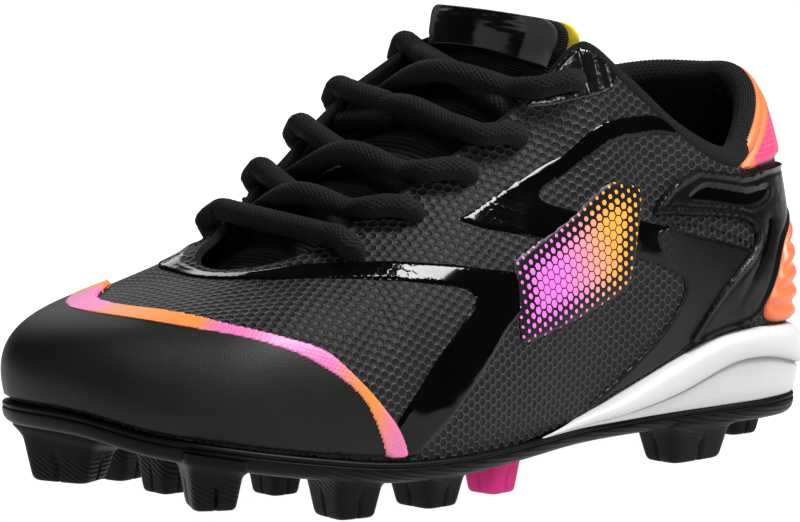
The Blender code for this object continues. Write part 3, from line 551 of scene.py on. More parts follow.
class Finish:
    """A material under construction: its coordinates, noises and mixes, and its shader's sockets."""

    def __init__(self, name, **sockets):
        self.material = bpy.data.materials.new(name)
        self.material.use_nodes = True
        self.tree = self.material.node_tree
        self.shader = self.tree.nodes["Principled BSDF"]
        for key, value in sockets.items():
            self.set(key.replace("_", " "), value)

    def set(self, key, value):
        socket = self.shader.inputs[key]
        if isinstance(value, Signal):
            self.tree.links.new(value.socket, socket)
        elif isinstance(value, tuple):
            socket.default_value = (*value, 1.0)
        else:
            socket.default_value = value

    def node(self, kind, **inputs):
        node = self.tree.nodes.new(kind)
        for key, value in inputs.items():
            socket = node.inputs[key.replace("_", " ")]
            if isinstance(value, Signal):
                self.tree.links.new(value.socket, socket)
            else:
                socket.default_value = value
        return node

    def split(self, socket):
        node = self.tree.nodes.new("ShaderNodeSeparateXYZ")
        self.tree.links.new(socket, node.inputs[0])
        return [Signal(self.tree, out) for out in node.outputs]

    def uv(self):
        node = self.tree.nodes.new("ShaderNodeUVMap")
        node.uv_map = "surface"
        u, v, _ = self.split(node.outputs[0])
        return u, v

    def place(self):
        """Object coordinates in millimetres."""
        node = self.tree.nodes.new("ShaderNodeTexCoord")
        return [axis * 1000.0 for axis in self.split(node.outputs["Object"])]

    def value(self, key):
        node = self.tree.nodes.new("ShaderNodeAttribute")
        node.attribute_name = key
        return Signal(self.tree, node.outputs["Fac"])

    def vector(self, x, y, z=0.0):
        return Signal(self.tree, self.node("ShaderNodeCombineXYZ", X=x, Y=y, Z=z).outputs[0])

    def noise(self, at, scale, detail=2.0, roughness=0.5):
        """Cloudy noise from 0 to 1 about 0.5; scale in waves for each millimetre."""
        where = self.vector(*at) if isinstance(at, (list, tuple)) else at
        node = self.node("ShaderNodeTexNoise", Vector=where, Scale=scale, Detail=detail, Roughness=roughness)
        return Signal(self.tree, node.outputs["Fac"])

    def specks(self, at, scale, size):
        """1 in small round spots scattered over the surface."""
        node = self.node("ShaderNodeTexVoronoi", Vector=self.vector(*at), Scale=scale)
        return Signal(self.tree, node.outputs["Distance"]).ramp(size, size * 0.6)

    def mix(self, share, first, second):
        """A colour between two, each a tuple or a mix."""
        node = self.tree.nodes.new("ShaderNodeMix")
        node.data_type = "RGBA"
        for socket, value in zip((node.inputs[0], node.inputs[6], node.inputs[7]), (share, first, second)):
            if isinstance(value, Signal):
                self.tree.links.new(value.socket, socket)
            elif isinstance(value, tuple):
                socket.default_value = (*value, 1.0)
            else:
                socket.default_value = value
        return Signal(self.tree, node.outputs[2])

    def relief(self, height, strength=1.0):
        """Bump from a height in millimetres."""
        node = self.node("ShaderNodeBump", Height=height, Distance=MM, Strength=strength)
        self.tree.links.new(node.outputs["Normal"], self.shader.inputs["Normal"])
        if "Coat Normal" in self.shader.inputs:
            self.tree.links.new(node.outputs["Normal"], self.shader.inputs["Coat Normal"])


def colour(red, green, blue):
    """A colour in linear light from its screen values, 0 to 255."""
    share = [value / 255 for value in (red, green, blue)]
    return tuple(v / 12.92 if v <= 0.04045 else ((v + 0.055) / 1.055) ** 2.4 for v in share)


HEX_PITCH = 2.35  # millimetres across the flats


def hexagons(u, v, pitch):
    """How far out from the middle of its hexagon each place lies, from 0 to 0.5 at the border, in pitches.
    Two lattices of rectangles share the plane, and the nearer of their two middles is the hexagon's."""
    x, y = u / pitch, v / pitch
    tall = math.sqrt(3)
    ax, ay = x.math("FLOORED_MODULO", 1.0) - 0.5, y.math("FLOORED_MODULO", tall) - tall / 2
    bx, by = (x + 0.5).math("FLOORED_MODULO", 1.0) - 0.5, (y + tall / 2).math("FLOORED_MODULO", tall) - tall / 2
    nearer = (ax * ax + ay * ay).math("LESS_THAN", bx * bx + by * by)
    hx, hy = ax * nearer + bx * (1.0 - nearer), ay * nearer + by * (1.0 - nearer)
    flat_x, flat_y = hx.math("ABSOLUTE"), hy.math("ABSOLUTE")
    return flat_x.math("MAXIMUM", flat_x * 0.5 + flat_y * (tall / 2))


def cloth_finish():
    """Matt black synthetic embossed with hexagons: dished cells inside thin raised rims, which are painted paler as a
    painted highlight.
    """
    finish = Finish("cloth_embossed", Specular_IOR_Level=0.16)
    u, v = finish.uv()
    border = hexagons(u, v, HEX_PITCH)
    rim = border.ramp(0.37, 0.47)
    dish = border * border
    patchy = finish.noise([u, v], 0.035, 3.0)
    grain = finish.noise([u, v], 3.0, 2.0)
    # The raised rims are painted paler, a painted highlight on them; patchy and grain are random tone.
    share = rim * 0.85 + patchy * 0.3 + grain * 0.18 - 0.2
    finish.set("Base Color", finish.mix(share, (0.0042, 0.0040, 0.0043), (0.046, 0.0436, 0.0446)))
    finish.set("Roughness", 0.58 - rim * 0.14 - grain * 0.1)
    finish.relief(rim * 0.16 + dish * 1.1 + grain * 0.02)
    return finish.material


def film_finish(name="film_gloss"):
    """Thin gloss black film welded over the cloth, whose hexagons press through it where it lies up on top."""
    finish = Finish(name, IOR=1.42, Specular_IOR_Level=0.22)
    u, v = finish.uv()
    t = finish.value("place_t")
    press = hexagons(u, v, HEX_PITCH).ramp(0.28, 0.5)
    waves = finish.noise([u, v], 0.12, 1.0)
    patchy = finish.noise([u, v], 0.05, 1.0).ramp(0.35, 0.65)
    finish.set("Base Color", finish.mix(waves, (0.0008, 0.0008, 0.001), (0.0016, 0.0016, 0.0018)))
    finish.set("Roughness", 0.08 + waves * 0.03)
    finish.relief(press * patchy * t.ramp(0.36, 0.60) * 0.03 + waves * 0.25)
    return finish.material


def leg_finish():
    """Matt black film low behind the side: fine slanted hatching, with hexagons pressed in towards its front."""
    finish = Finish("film_matt", IOR=1.42, Specular_IOR_Level=0.2)
    u, v = finish.uv()
    s, t = finish.value("outer_s"), finish.value("place_t")
    border = hexagons(u, v, HEX_PITCH)
    front = (s - t * 2.6).ramp(9.15, 8.75)
    hatch = ((u * 0.8 + v * 1.1) * 6.0).math("SINE")
    fade = (s + t * 1.5).ramp(11.9, 10.4)
    finish.set("Base Color", finish.mix(fade, (0.0010, 0.0010, 0.0012), (0.008, 0.0078, 0.0082)))
    finish.set("Roughness", 0.34 + hatch * 0.03)
    finish.relief(border.ramp(0.30, 0.48) * front * 0.08 + hatch * 0.02)
    return finish.material


def cap_finish():
    """Black moulded toe guard: fine leathery grain, with a few pale scuffs."""
    finish = Finish("toe_guard", Specular_IOR_Level=0.2)
    x, y, z = finish.place()
    grain = finish.noise([x, y, z], 2.6, 3.0, 0.6)
    clouds = finish.noise([x, y, z], 0.06, 2.0)
    spots = finish.specks([x, y, z], 0.22, 0.055)
    finish.set("Base Color", finish.mix(spots * 0.25 + clouds * 0.3, (0.0024, 0.0023, 0.0021), (0.024, 0.023, 0.020)))
    finish.set("Roughness", 0.40 + grain * 0.2)
    finish.relief(grain * 0.10 + clouds * 0.2)
    return finish.material


def stripe_finish():
    """Printed band of the toe guard: pink and orange lengths that meet in a screen of dots."""
    finish = Finish("stripe_print", Roughness=0.42)
    u, v = finish.uv()
    s = finish.value("place_s")
    border = hexagons(u, v, 1.1)
    blur = s + (border * 0.9 - 0.2)
    orange = blur.ramp(0.35, 0.6) * blur.ramp(2.25, 1.95) + blur.ramp(4.2, 4.45) * blur.ramp(5.05, 4.9)
    orange = orange + blur.ramp(-0.7, -0.95)
    wear = finish.noise([u, v], 0.5, 3.0)
    dots = border.ramp(0.30, 0.42)
    pink = finish.mix(dots * 0.45 + wear * 0.15, colour(205, 92, 158), colour(214, 128, 172))
    warm = finish.mix(dots * 0.40 + wear * 0.15, colour(222, 120, 40), colour(224, 150, 92))
    finish.set("Base Color", finish.mix(orange, pink, warm))
    finish.relief(dots * 0.03 + wear * 0.02)
    return finish.material


def counter_finish():
    """Black heel counter: satin ridges, gloss windows and groove, and a greyer satin plate at the back."""
    finish = Finish("counter_moulded", IOR=1.45, Specular_IOR_Level=0.22)
    u, v = finish.uv()
    window, plate = finish.value("window"), finish.value("plate")
    deep = window.ramp(0.1, 0.9)
    grain = finish.noise([u, v], 2.2, 2.0)
    base = finish.mix(plate * (1.0 - deep), (0.0014, 0.0014, 0.0016), (0.006, 0.0062, 0.0068))
    finish.set("Base Color", finish.mix(deep, base, (0.0008, 0.0008, 0.001)))
    finish.set("Roughness", 0.33 - deep * 0.23 + grain * 0.06)
    finish.relief(grain * 0.018 * (1.0 - deep) + finish.noise([u, v], 0.12, 2.0) * 0.5)
    return finish.material


def tab_finish():
    """Soft tab at the top of the heel: orange, with a pink panel of embossed hexagons round the back."""
    finish = Finish("heel_tab_print", Roughness=0.5)
    u, v = finish.uv()
    s, t = finish.value("place_s"), finish.value("place_t")
    border = hexagons(u, v, 1.5)
    rim = border.ramp(0.36, 0.48)
    back = (s - HEEL).math("ABSOLUTE").ramp(2.55, 2.4)
    pink_area = back * t.ramp(0.962, 0.955)
    wear = finish.noise([u, v], 0.25, 3.0)
    pink = finish.mix(rim * 0.7 + wear * 0.2, colour(196, 44, 100), colour(216, 84, 126))
    warm = finish.mix(wear * 0.5, colour(222, 102, 44), colour(224, 124, 66))
    finish.set("Base Color", finish.mix(pink_area, warm, pink))
    finish.relief(rim * pink_area * 0.10 + wear * 0.05)
    return finish.material


def panel_finish():
    """Ribbed panel low on the heel: orange, turning pink on the ribs round the back."""
    finish = Finish("heel_panel_print", Roughness=0.42)
    u, v = finish.uv()
    s, t = finish.value("place_s"), finish.value("place_t")
    rib = finish.value("rib")
    wear = finish.noise([u, v], 0.3, 3.0)
    back = ((s - HEEL).math("ABSOLUTE") + wear * 0.4).ramp(2.3, 1.3)
    share = back * rib.ramp(0.25, 0.8) * t.ramp(0.5, 0.35)
    finish.set("Base Color", finish.mix(share, colour(226, 108, 60), colour(200, 66, 140)))
    finish.relief(finish.noise([u, v], 2.5, 2.0) * 0.03)
    return finish.material


def foam_finish():
    """White injected foam: soft satin skin with the faintest stipple, and painted shade greying it down in its
    groove.
    """
    finish = Finish("foam_white", Roughness=0.38, Specular_IOR_Level=0.3)
    x, y, z = finish.place()
    groove = finish.value("groove")
    fine = finish.noise([x, y, z], 1.4, 3.0)
    dust = finish.noise([x, y, z], 0.07, 3.0)
    # Painted shade greys the groove; dust adds random grey patches.
    shade = groove * 0.75 + dust.ramp(0.5, 0.9) * 0.18
    finish.set("Base Color", finish.mix(shade, (0.52, 0.52, 0.532), (0.28, 0.28, 0.30)))
    finish.relief(fine * 0.035)
    return finish.material


def rubber_finish(name, low, high, roughness):
    """Moulded rubber: fine stipple, dull scuffs towards the ground."""
    finish = Finish(name, Specular_IOR_Level=0.1)
    x, y, z = finish.place()
    stipple = finish.noise([x, y, z], 1.9, 2.0)
    scuff = finish.noise([x, y, z], 0.25, 4.0, 0.65) * z.ramp(9.0, 0.5)
    finish.set("Base Color", finish.mix(scuff * 1.1 + stipple * 0.12, low, high))
    finish.set("Roughness", roughness + scuff * 0.25)
    hatch = (((x + y * 0.4) * 0.9 + z * 1.5) * 3.2).math("SINE") * z.ramp(5.5, 8.5) * z.ramp(15.0, 11.0)
    finish.relief(stipple * 0.05 + hatch * 0.06)
    return finish.material


def cord_finish():
    """Braided lace: two sets of plaits that pass over and under each other, with a dry sheen."""
    finish = Finish("lace_braid", Roughness=0.8, Specular_IOR_Level=0.12, Sheen_Weight=0.02, Sheen_Roughness=0.5)
    u, v = finish.uv()
    right = ((u + v * 0.8) * (math.pi / 0.55)).math("SINE")
    left = ((u - v * 0.8) * (math.pi / 0.55)).math("SINE")
    weave = right.math("MAXIMUM", left * 0.9)
    fuzz = finish.noise([u, v], 3.5, 2.0)
    share = weave * 0.4 + fuzz * 0.35 + 0.1
    finish.set("Base Color", finish.mix(share, (0.0015, 0.0015, 0.0016), (0.011, 0.0105, 0.011)))
    finish.relief(weave * 0.12 + fuzz * 0.10)
    return finish.material


def knit_finish(name="tongue_rib_knit", rib=1.1):
    """Ribbed knit: rows of small loops along each rib."""
    finish = Finish(name, Roughness=0.85, Specular_IOR_Level=0.12, Sheen_Weight=0.02, Sheen_Roughness=0.5)
    u, v = finish.uv()
    ribs = (v * (2 * math.pi / rib)).math("SINE")
    loops = (u * (2 * math.pi / 0.7) + ribs * 1.2).math("SINE")
    fuzz = finish.noise([u, v], 2.5, 3.0)
    share = ribs * 0.3 + loops * 0.12 + fuzz * 0.4 + 0.15
    finish.set("Base Color", finish.mix(share, (0.0015, 0.0015, 0.0016), (0.020, 0.0195, 0.020)))
    finish.relief(ribs * 0.13 + loops * 0.05 + fuzz * 0.08)
    return finish.material


def mesh_finish(name="collar_mesh", pitch=1.7):
    """Spacer mesh lining: small dark eyes in a fuzzy black cloth."""
    finish = Finish(name, Roughness=0.9, Specular_IOR_Level=0.1, Sheen_Weight=0.02, Sheen_Roughness=0.5)
    u, v = finish.uv()
    border = hexagons(u, v, pitch)
    eye = border.ramp(0.26, 0.14)
    fuzz = finish.noise([u, v], 2.4, 3.0)
    share = fuzz * 0.5 + border * 0.5 - eye * 0.6
    finish.set("Base Color", finish.mix(share, (0.0012, 0.0012, 0.0013), (0.010, 0.0097, 0.010)))
    finish.relief(eye * -0.25 + fuzz * 0.12)
    return finish.material


def label_finish():
    """Tongue label: gloss black middle between matt grey borders."""
    finish = Finish("label_film", IOR=1.45)
    u, v = finish.uv()
    side = (u.math("ABSOLUTE")).ramp(13.6, 14.3)
    grain = finish.noise([u, v], 2.0, 2.0)
    finish.set("Base Color", finish.mix(side, (0.0012, 0.0012, 0.0014), (0.026, 0.023, 0.024)))
    finish.set("Roughness", side * 0.45 + 0.14 + grain * 0.06)
    finish.relief(grain * side * 0.04 + finish.noise([u, v], 0.1, 2.0) * 0.4)
    return finish.material


def yellow_finish():
    """Bright yellow brushed lining behind the tongue."""
    finish = Finish("yellow_lining", Roughness=0.85, Sheen_Weight=0.3)
    u, v = finish.uv()
    fuzz = finish.noise([u, v], 1.5, 3.0)
    finish.set("Base Color", finish.mix(fuzz, colour(245, 200, 20), colour(255, 226, 60)))
    finish.relief(fuzz * 0.12)
    return finish.material


# Outlines on the upper, as (s, t), traced for the outer side

FILM_SIDE = (
    (10.55, .995), (10.05, .90), (9.2, .775), (8.5, .77), (7.65, .805), (6.82, .81), (6.1, .797), (5.98, .80),
    (6.05, .785), (6.31, .735), (6.64, .693), (6.97, .646), (7.33, .596), (7.89, .522), (8.48, .445), (9.10, .388),
    (9.68, .364), (10.20, .32), (10.28, .274), (10.11, .201), (9.84, .142), (9.56, .105), (9.20, .071),
    (8.84, .048), (8.45, .029), (8.1, .012), (10.4, .012), (10.9, .13), (11.6, .31), (12.0, .48), (11.86, .49),
    (11.45, .502), (10.9, .50), (10.09, .505), (9.38, .496), (8.89, .514), (8.33, .581), (7.82, .65), (7.51, .702),
    (7.45, .732), (7.58, .744), (8.18, .73), (8.95, .699), (9.81, .792), (10.46, .906), (10.9, .995),
)
VAMP_TOP = (
    (0, .985), (1.5, .98), (2.6, .965), (3.08, .955), (3.96, .886), (4.63, .806), (5.25, .72), (5.71, .657),
    (6.19, .596), (6.80, .539), (7.15, .50), (7.25, .46), (7.05, .42), (6.89, .405), (6.61, .364), (6.38, .292),
    (6.17, .233), (5.94, .166), (5.69, .102), (5.52, .061), (5.35, .012),
)
VAMP_LOW = (
    (4.95, .012), (5.02, .119), (5.11, .163), (5.30, .247), (5.56, .348), (5.83, .425), (6.09, .488), (6.09, .508),
    (5.96, .545), (5.67, .583), (5.21, .643), (4.58, .723), (3.90, .805), (3.04, .871), (1.89, .934), (.42, .946),
    (0, .945),
)
REINFORCEMENT = (
    (7.75, .995), (7.89, .975), (8.03, .955), (8.34, .911), (8.80, .858), (9.14, .86), (9.51, .91), (9.64, .955),
    (9.68, .99), (9.1, .995), (8.5, .995),
)
COUNTER_FRONT = (
    (10.11, .012), (10.61, .129), (11.33, .310), (12.01, .501), (12.17, .594), (12.02, .659), (11.67, .674),
    (10.68, .581), (9.80, .525), (9.80, .545), (10.17, .628), (10.91, .818), (11.21, .888), (11.91, .955),
    (12.90, .851), (14.05, .701), (15, .655),
)
COUNTER_REAR = ((11.71, .012), (12.09, .142), (12.38, .257), (12.69, .407), (13.0, .47), (14, .50), (15, .50))
# The printed band of the toe guard, from the inner side round the toe to the outer side: its two edges.
STRIPE_TOP = (
    (-4.2, .012), (-4.1, .11), (-3.75, .27), (-3.31, .42), (-2.96, .53), (-2.48, .62), (-1.9, .72), (-1.3, .755),
    (-.92, .742), (-.44, .708), (.24, .684), (.85, .689), (1.68, .665), (2.34, .599), (3.13, .515), (3.63, .467),
    (3.96, .420), (4.31, .331), (4.63, .249), (4.86, .181), (5.09, .107), (5.2, .038), (5.22, .012),
)
STRIPE_LOW = (
    (-3.87, .012), (-3.75, .10), (-3.5, .22), (-3.2, .33), (-2.85, .45), (-2.4, .54), (-1.95, .61), (-1.5, .637),
    (-1.05, .623), (-.7, .602), (-.3, .590), (.24, .583), (.62, .585), (1.32, .587), (2.22, .549), (2.91, .475),
    (3.57, .404), (4.21, .290), (4.52, .219), (4.69, .145), (4.82, .074), (4.89, .012),
)
HEEL_TAB_LOW = ((12.05, .965), (12.85, .870), (13.45, .800), (14.10, .735), (15.0, .685))
HEEL_TAB_TOP = ((12.30, .985), (12.95, .99), (13.5, .99), (15.0, .99))
HEEL_PANEL_TOP = ((12.75, .375), (13.20, .46), (13.7, .495), (14.3, .50), (15, .495))
HEEL_PANEL_LOW = ((11.80, .012), (13.45, .012), (15.0, .012))

COUNTER_WINDOW = (
    (10.60, .650), (11.10, .785), (11.25, .812), (11.81, .868), (12.70, .790), (12.90, .739), (12.59, .722),
    (11.95, .755), (11.49, .735), (11.0, .690),
)
COUNTER_GROOVE = (
    (12.60, .640), (12.72, .602), (12.52, .516), (12.17, .412), (11.74, .274), (11.44, .144), (11.34, .158),
    (11.64, .285), (12.07, .449), (12.36, .563), (12.50, .625),
)
# A plain slanted field of hexagons on the side, and the matt leg of the side film.
ACCENT = (
    (6.76, .575), (6.80, .582), (7.5, .60), (8.6, .612), (9.58, .607), (9.63, .600), (9.5, .52), (9.2, .38),
    (9.0, .300), (8.93, .293), (8.2, .292), (7.4, .298), (6.92, .304), (6.87, .312), (6.82, .44),
)
LEG = (
    (9.75, .42), (9.9, .35), (10.20, .32), (10.28, .274), (10.11, .201), (9.84, .142), (9.56, .105), (9.20, .071),
    (8.84, .048), (8.45, .029), (8.1, .012), (10.4, .012), (10.9, .13), (11.6, .31), (12.0, .48), (11.86, .49),
    (11.45, .502), (10.9, .50), (10.09, .505), (9.75, .47),
)


def both(line):
    """A line on the outer side with its mirror line, past the heel."""
    return np.concatenate([np.array(line, float), past_heel(line)[1:]])


def round_toe(line):
    """The inner side's mirror of a line, then the line itself, through the toe."""
    return np.concatenate([inner(line)[:-1], np.array(line, float)])


# Thickness of the films over the cloth.
FILM = 0.45 * MM
LEG_FILM = 0.62 * MM
ACCENT_PRINT = 0.62 * MM
TOE_GUARD = 1.15 * MM
TOE_PRINT = 1.30 * MM

# The upper

# Soft dents and swells of the cloth: place, height there, spread along and up, and rise in metres.
CREASES = (
    (4.55, 0.50, 0.22, 0.16, -0.0007), (4.95, 0.55, 0.25, 0.15, 0.0005), (5.45, 0.33, 0.25, 0.14, -0.0006),
    (6.55, 0.70, 0.30, 0.12, -0.0006), (7.10, 0.62, 0.30, 0.10, 0.0005), (9.90, 0.72, 0.50, 0.10, -0.0006),
    (10.9, 0.93, 0.50, 0.06, 0.0004), (2.30, 0.80, 0.60, 0.10, -0.0005), (8.30, 0.20, 0.60, 0.12, -0.0005),
)


def upper_relief(s, t):
    """Form of the cloth over the shell: soft creases on both sides, and a dimple round each lace hole."""
    s, t = np.broadcast_arrays(np.asarray(s, float), np.asarray(t, float))
    s = np.where(s > HEEL + 8, s - COUNT, s)
    height = np.zeros(s.shape)
    for at, up, wide, tall, rise in CREASES:
        for place in (at, 1.3 - at):
            height += rise * np.exp(-(((s - place) / wide) ** 2) - ((t - up) / tall) ** 2)
    around, up = to_chart(s, t)
    for row in EYELETS:
        for at, level in (row[:2], (row[2] - COUNT, row[3])):
            a, b = to_chart(at, level)
            height -= 0.7 * MM * np.exp(-(((around - a) ** 2 + (up - b) ** 2) / (3.6 * MM) ** 2))
    return height * smooth(t / 0.06)


def upper_cloth(finish):
    """The outer cloth: the shell moved out by its relief."""
    s = np.linspace(HEEL - COUNT, HEEL, 581)[:, None]
    t = np.linspace(0, 1, 81)[None]
    flat = on_cloth(s, t)
    points = shell_offset(s, t, upper_relief(s, t))
    grid_piece("upper_cloth", points, finish, "upper_synthetic", (flat[..., 0], flat[..., 1]))


def rim(s, angles, proud=0.0):
    """Points round the rolled top edge of the upper; angle 0 is its outer side and 180 its inner side."""
    t = np.ones_like(s)
    outer = shell_offset(s, t, 0.0)
    inside = shell_offset(s, t, -wall(s, t))
    middle, half = (outer + inside) / 2, (outer - inside) / 2
    thick = np.linalg.norm(half, axis=-1, keepdims=True)
    up = unit(outer - shell_offset(s, t - 0.01, 0.0)) * thick
    a = np.radians(angles)[None, :, None]
    grow = 1 + proud / thick[:, None]
    return middle[:, None] + (half[:, None] * np.cos(a) + up[:, None] * np.sin(a)) * grow


def edge_length(s):
    """Length along the opening edge up to each s, in millimetres."""
    ring = shell(s, np.ones_like(s))
    return np.concatenate([[0], np.cumsum(np.linalg.norm(np.diff(ring, axis=0), axis=1))]) / MM


def upper_edge(finish):
    """The cut top edge round the lacing, and the padded roll of the collar."""
    s = np.linspace(HEEL - COUNT, HEEL, 581)
    angles = np.linspace(0, 180, 13)
    points = rim(s, angles)
    length = edge_length(s)
    grid_piece("upper_edge", points, finish, "upper_synthetic", (length[:, None], angles[None] / 12))


def collar_binding(finish):
    """Knitted tape round the collar: small ribs across it, wrapped over the outer half of the padded roll."""
    s = np.linspace(8.9, 21.1, 1101)
    angles = np.linspace(-38, 118, 15)
    length = edge_length(s)
    ends = smooth((s - 8.9) / 0.25) * smooth((21.1 - s) / 0.25)
    around = np.sin(np.pi * (np.arange(15) / 14))
    rib = 0.09 * MM * np.sin(2 * np.pi * length / 1.15)[:, None] * around
    proud = (0.75 * MM * around**0.5 + rib) * ends[:, None] - 0.25 * MM
    t = np.ones_like(s)
    outer, inside = shell_offset(s, t, 0.0), shell_offset(s, t, -wall(s, t))
    middle, half = (outer + inside) / 2, (outer - inside) / 2
    thick = np.linalg.norm(half, axis=-1, keepdims=True)
    up = unit(outer - shell_offset(s, t - 0.01, 0.0)) * thick
    a = np.radians(angles)[None, :, None]
    low = np.minimum(angles, 0)[None, :, None] / 38 * 1.6 * MM
    direction = half[:, None] * np.cos(np.maximum(a, 0)) + up[:, None] * np.sin(np.maximum(a, 0))
    points = middle[:, None] + direction * (1 + proud[..., None] / thick[:, None]) + unit(up)[:, None] * low
    grid_piece("collar_binding", points, finish, "upper_synthetic", (length[:, None], angles[None] / 12))


def heel_tab_roll(finish):
    """Top of the heel tab, which wraps over the padded roll: an arc of the rolled edge, padded out from it."""
    s = np.linspace(12.35, 2 * HEEL - 12.35, 241)
    angles = np.linspace(-30, 40, 17)
    share = np.sin(np.pi * (np.arange(17) / 16))
    ends = smooth((s - 12.35) / 0.3) * smooth((2 * HEEL - 12.35 - s) / 0.3)
    proud = -0.35 * MM + 1.35 * MM * share**0.4 * ends[:, None]
    t = np.ones_like(s)
    outer, inside = shell_offset(s, t, 0.0), shell_offset(s, t, -wall(s, t))
    middle, half = (outer + inside) / 2, (outer - inside) / 2
    thick = np.linalg.norm(half, axis=-1, keepdims=True)
    up = unit(outer - shell_offset(s, t - 0.01, 0.0)) * thick
    a = np.radians(np.maximum(angles, 0))[None, :, None]
    low = np.minimum(angles, 0)[None, :, None] / 30 * 1.5 * MM
    towards = half[:, None] * np.cos(a) + up[:, None] * np.sin(a)
    points = middle[:, None] + towards * (1 + proud[..., None] / thick[:, None]) + unit(up)[:, None] * low
    values = {"place_s": s[:, None], "place_t": np.interp(angles, [-30, 0, 40], [0.93, 0.96, 1.0])[None]}
    grid_piece(
        "heel_tab_roll", points, finish, "heel_tab_film", (edge_length(s)[:, None], angles[None] / 12), values=values,
    )


def upper_inside(finish):
    """The inner face: the shell moved in by the wall, with a shallow seam down the heel."""
    s = np.linspace(HEEL - COUNT, HEEL, 441)[:, None]
    t = np.linspace(1, 0, 51)[None]
    around, up = to_chart(s, t)
    seam = -0.5 * MM * (np.exp(-(((s - HEEL) % COUNT) / .12) ** 2) + np.exp(-(((HEEL - s) % COUNT) / .12) ** 2))
    inside = shell_offset(s, t, -wall(s, t) + seam)
    grid_piece("upper_inside", inside, finish, "upper_synthetic", (around / MM, up / MM), replaces=("upper",))


def stitches(name, line, finish, slot, pitch=2.6 * MM, height=0.35 * MM, length=1.7 * MM, thick=0.33 * MM):
    """Sewing thread along a line of (s, t): each stitch is a small arched grain, all joined in one mesh."""
    flat = np.column_stack(to_chart(*np.array(line, float).T))
    total = np.linalg.norm(np.diff(flat, axis=0), axis=1).sum()
    count = max(int(total / pitch), 2)
    path = curve(flat, count * 8 + 1)
    centre = path[4::8]
    run = unit(path[5::8][: len(centre)] - path[3::8][: len(centre)])
    a = np.linspace(-1, 1, 7)[:, None]
    b = np.linspace(0, 2 * np.pi, 7)[None]
    size = np.sqrt(np.clip(1 - a**2, 0, 1)) ** 0.6 * thick
    forward, aside, lift = a * length / 2 + 0 * b, size * np.cos(b), size * np.sin(b) * 0.8 + height * (1 - a**4)
    across = np.column_stack([-run[:, 1], run[:, 0]])
    around = centre[:, 0, None, None] + run[:, 0, None, None] * forward + across[:, 0, None, None] * aside
    up = centre[:, 1, None, None] + run[:, 1, None, None] * forward + across[:, 1, None, None] * aside
    shape = around.shape
    s, t = from_chart(around.ravel(), up.reshape(-1, 1))
    s, t = s[:, 0], t[:, 0]
    points = shell_offset(s, t, upper_relief(s, t) + np.broadcast_to(lift, shape).ravel())
    grid = grid_faces(7, 7)
    faces = (grid[None] + 49 * np.arange(shape[0])[:, None, None]).reshape(-1, 4)
    uv = np.column_stack([around.ravel(), up.ravel()]) / MM
    mesh_piece(name, points, faces, finish, slot, uv)


def reinforcement_height(inset, s, t):
    """Gloss film over the top lace hole, with upright ridges in its rear half."""
    around = to_chart(s, t)[0]
    ridge = np.sin(2 * np.pi * around / (1.15 * MM)) * smooth((as_outer(s) - 8.75) / 0.2)
    return film_height(0.6 * MM, 0.4 * MM)(inset, s, t) + 0.16 * MM * ridge * np.clip(inset / (0.6 * MM), 0, 1)


def counter_values_at(s, t):
    """The place mirrored to the outer side, and how deep it lies in the window and in the leg's hollow."""
    s = np.where(s > HEEL, 2 * HEEL - s, s)
    window = depth_in(s, t, COUNTER_WINDOW)
    groove = depth_in(s, t, COUNTER_GROOVE)
    return s, window, groove


def counter_height(inset, s, t):
    """The moulded counter: a raised round bead along its border, a sunken gloss window with beads beside it, a
    shallow sunken groove down the leg, a pinched line under the top bead, and a plain plate round the back."""
    s, window, groove = counter_values_at(s, t)
    deep, hollow = smooth(window / (0.7 * MM) + 0.5), smooth(groove / (3.0 * MM) + 0.5)
    bead = np.exp(-(((inset - 0.9 * MM) / (0.6 * MM)) ** 2))
    near = np.exp(-(((window + 0.6 * MM) / (0.45 * MM)) ** 2))
    line = np.exp(-(((inset - 2.2 * MM) / (0.28 * MM)) ** 2))
    edge = np.sqrt(1 - np.clip(1 - inset / (0.8 * MM), 0, 1) ** 2)
    body = 1.15 * MM + 0.40 * MM * bead + 0.16 * MM * near - 0.22 * MM * line - 0.30 * MM * hollow
    return (body * (1 - deep) + 0.60 * MM * deep) * (0.25 + 0.75 * edge)


def counter_window_at(s, t):
    """Depth inside the window or the hollow, in millimetres, for the finish."""
    s, window, groove = counter_values_at(s, t)
    return np.maximum(window, groove) / MM


def counter_plate_at(s, t):
    """1 on the plate round the back, 0 on the arm and the leg, for the finish."""
    s, window, groove = counter_values_at(s, t)
    return smooth((s - 12.75) / 0.35) * smooth(-groove / (1.2 * MM)) * smooth(-window / (1.5 * MM)) * (t < 0.68)


counter_values = {"window": counter_window_at, "plate": counter_plate_at}


def tab_height(inset, s, t):
    """A padded tab, fullest round the back."""
    edge = np.sqrt(1 - np.clip(1 - inset / (1.6 * MM), 0, 1) ** 2)
    return (0.3 + 0.7 * edge) * 1.5 * MM


HEEL_RIBS = 5


def panel_rib(s, t):
    """A cosine wave up the panel, 0 in its grooves and 1 on its ribs."""
    return 0.5 - 0.5 * np.cos(2 * np.pi * HEEL_RIBS * np.clip((t - 0.012) / 0.483, 0, 1))


def panel_height(inset, s, t):
    """Ribs that lie across the heel, flattened towards the panel's edges."""
    edge = np.sqrt(1 - np.clip(1 - inset / (0.8 * MM), 0, 1) ** 2)
    return edge * (0.9 * MM + 1.0 * MM * panel_rib(s, t) * smooth(inset / (2 * MM)))


def reinforcement_finish():
    """Gloss black film with slow waves in it."""
    finish = Finish("reinforcement_gloss", IOR=1.5)
    u, v = finish.uv()
    waves = finish.noise([u, v], 0.3, 2.0)
    finish.set("Base Color", finish.mix(waves, (0.0015, 0.0015, 0.0018), (0.005, 0.005, 0.0055)))
    finish.set("Roughness", 0.16 + waves * 0.1)
    finish.relief(waves * 0.35 + finish.noise([u, v], 2.0, 2.0) * 0.02)
    return finish.material


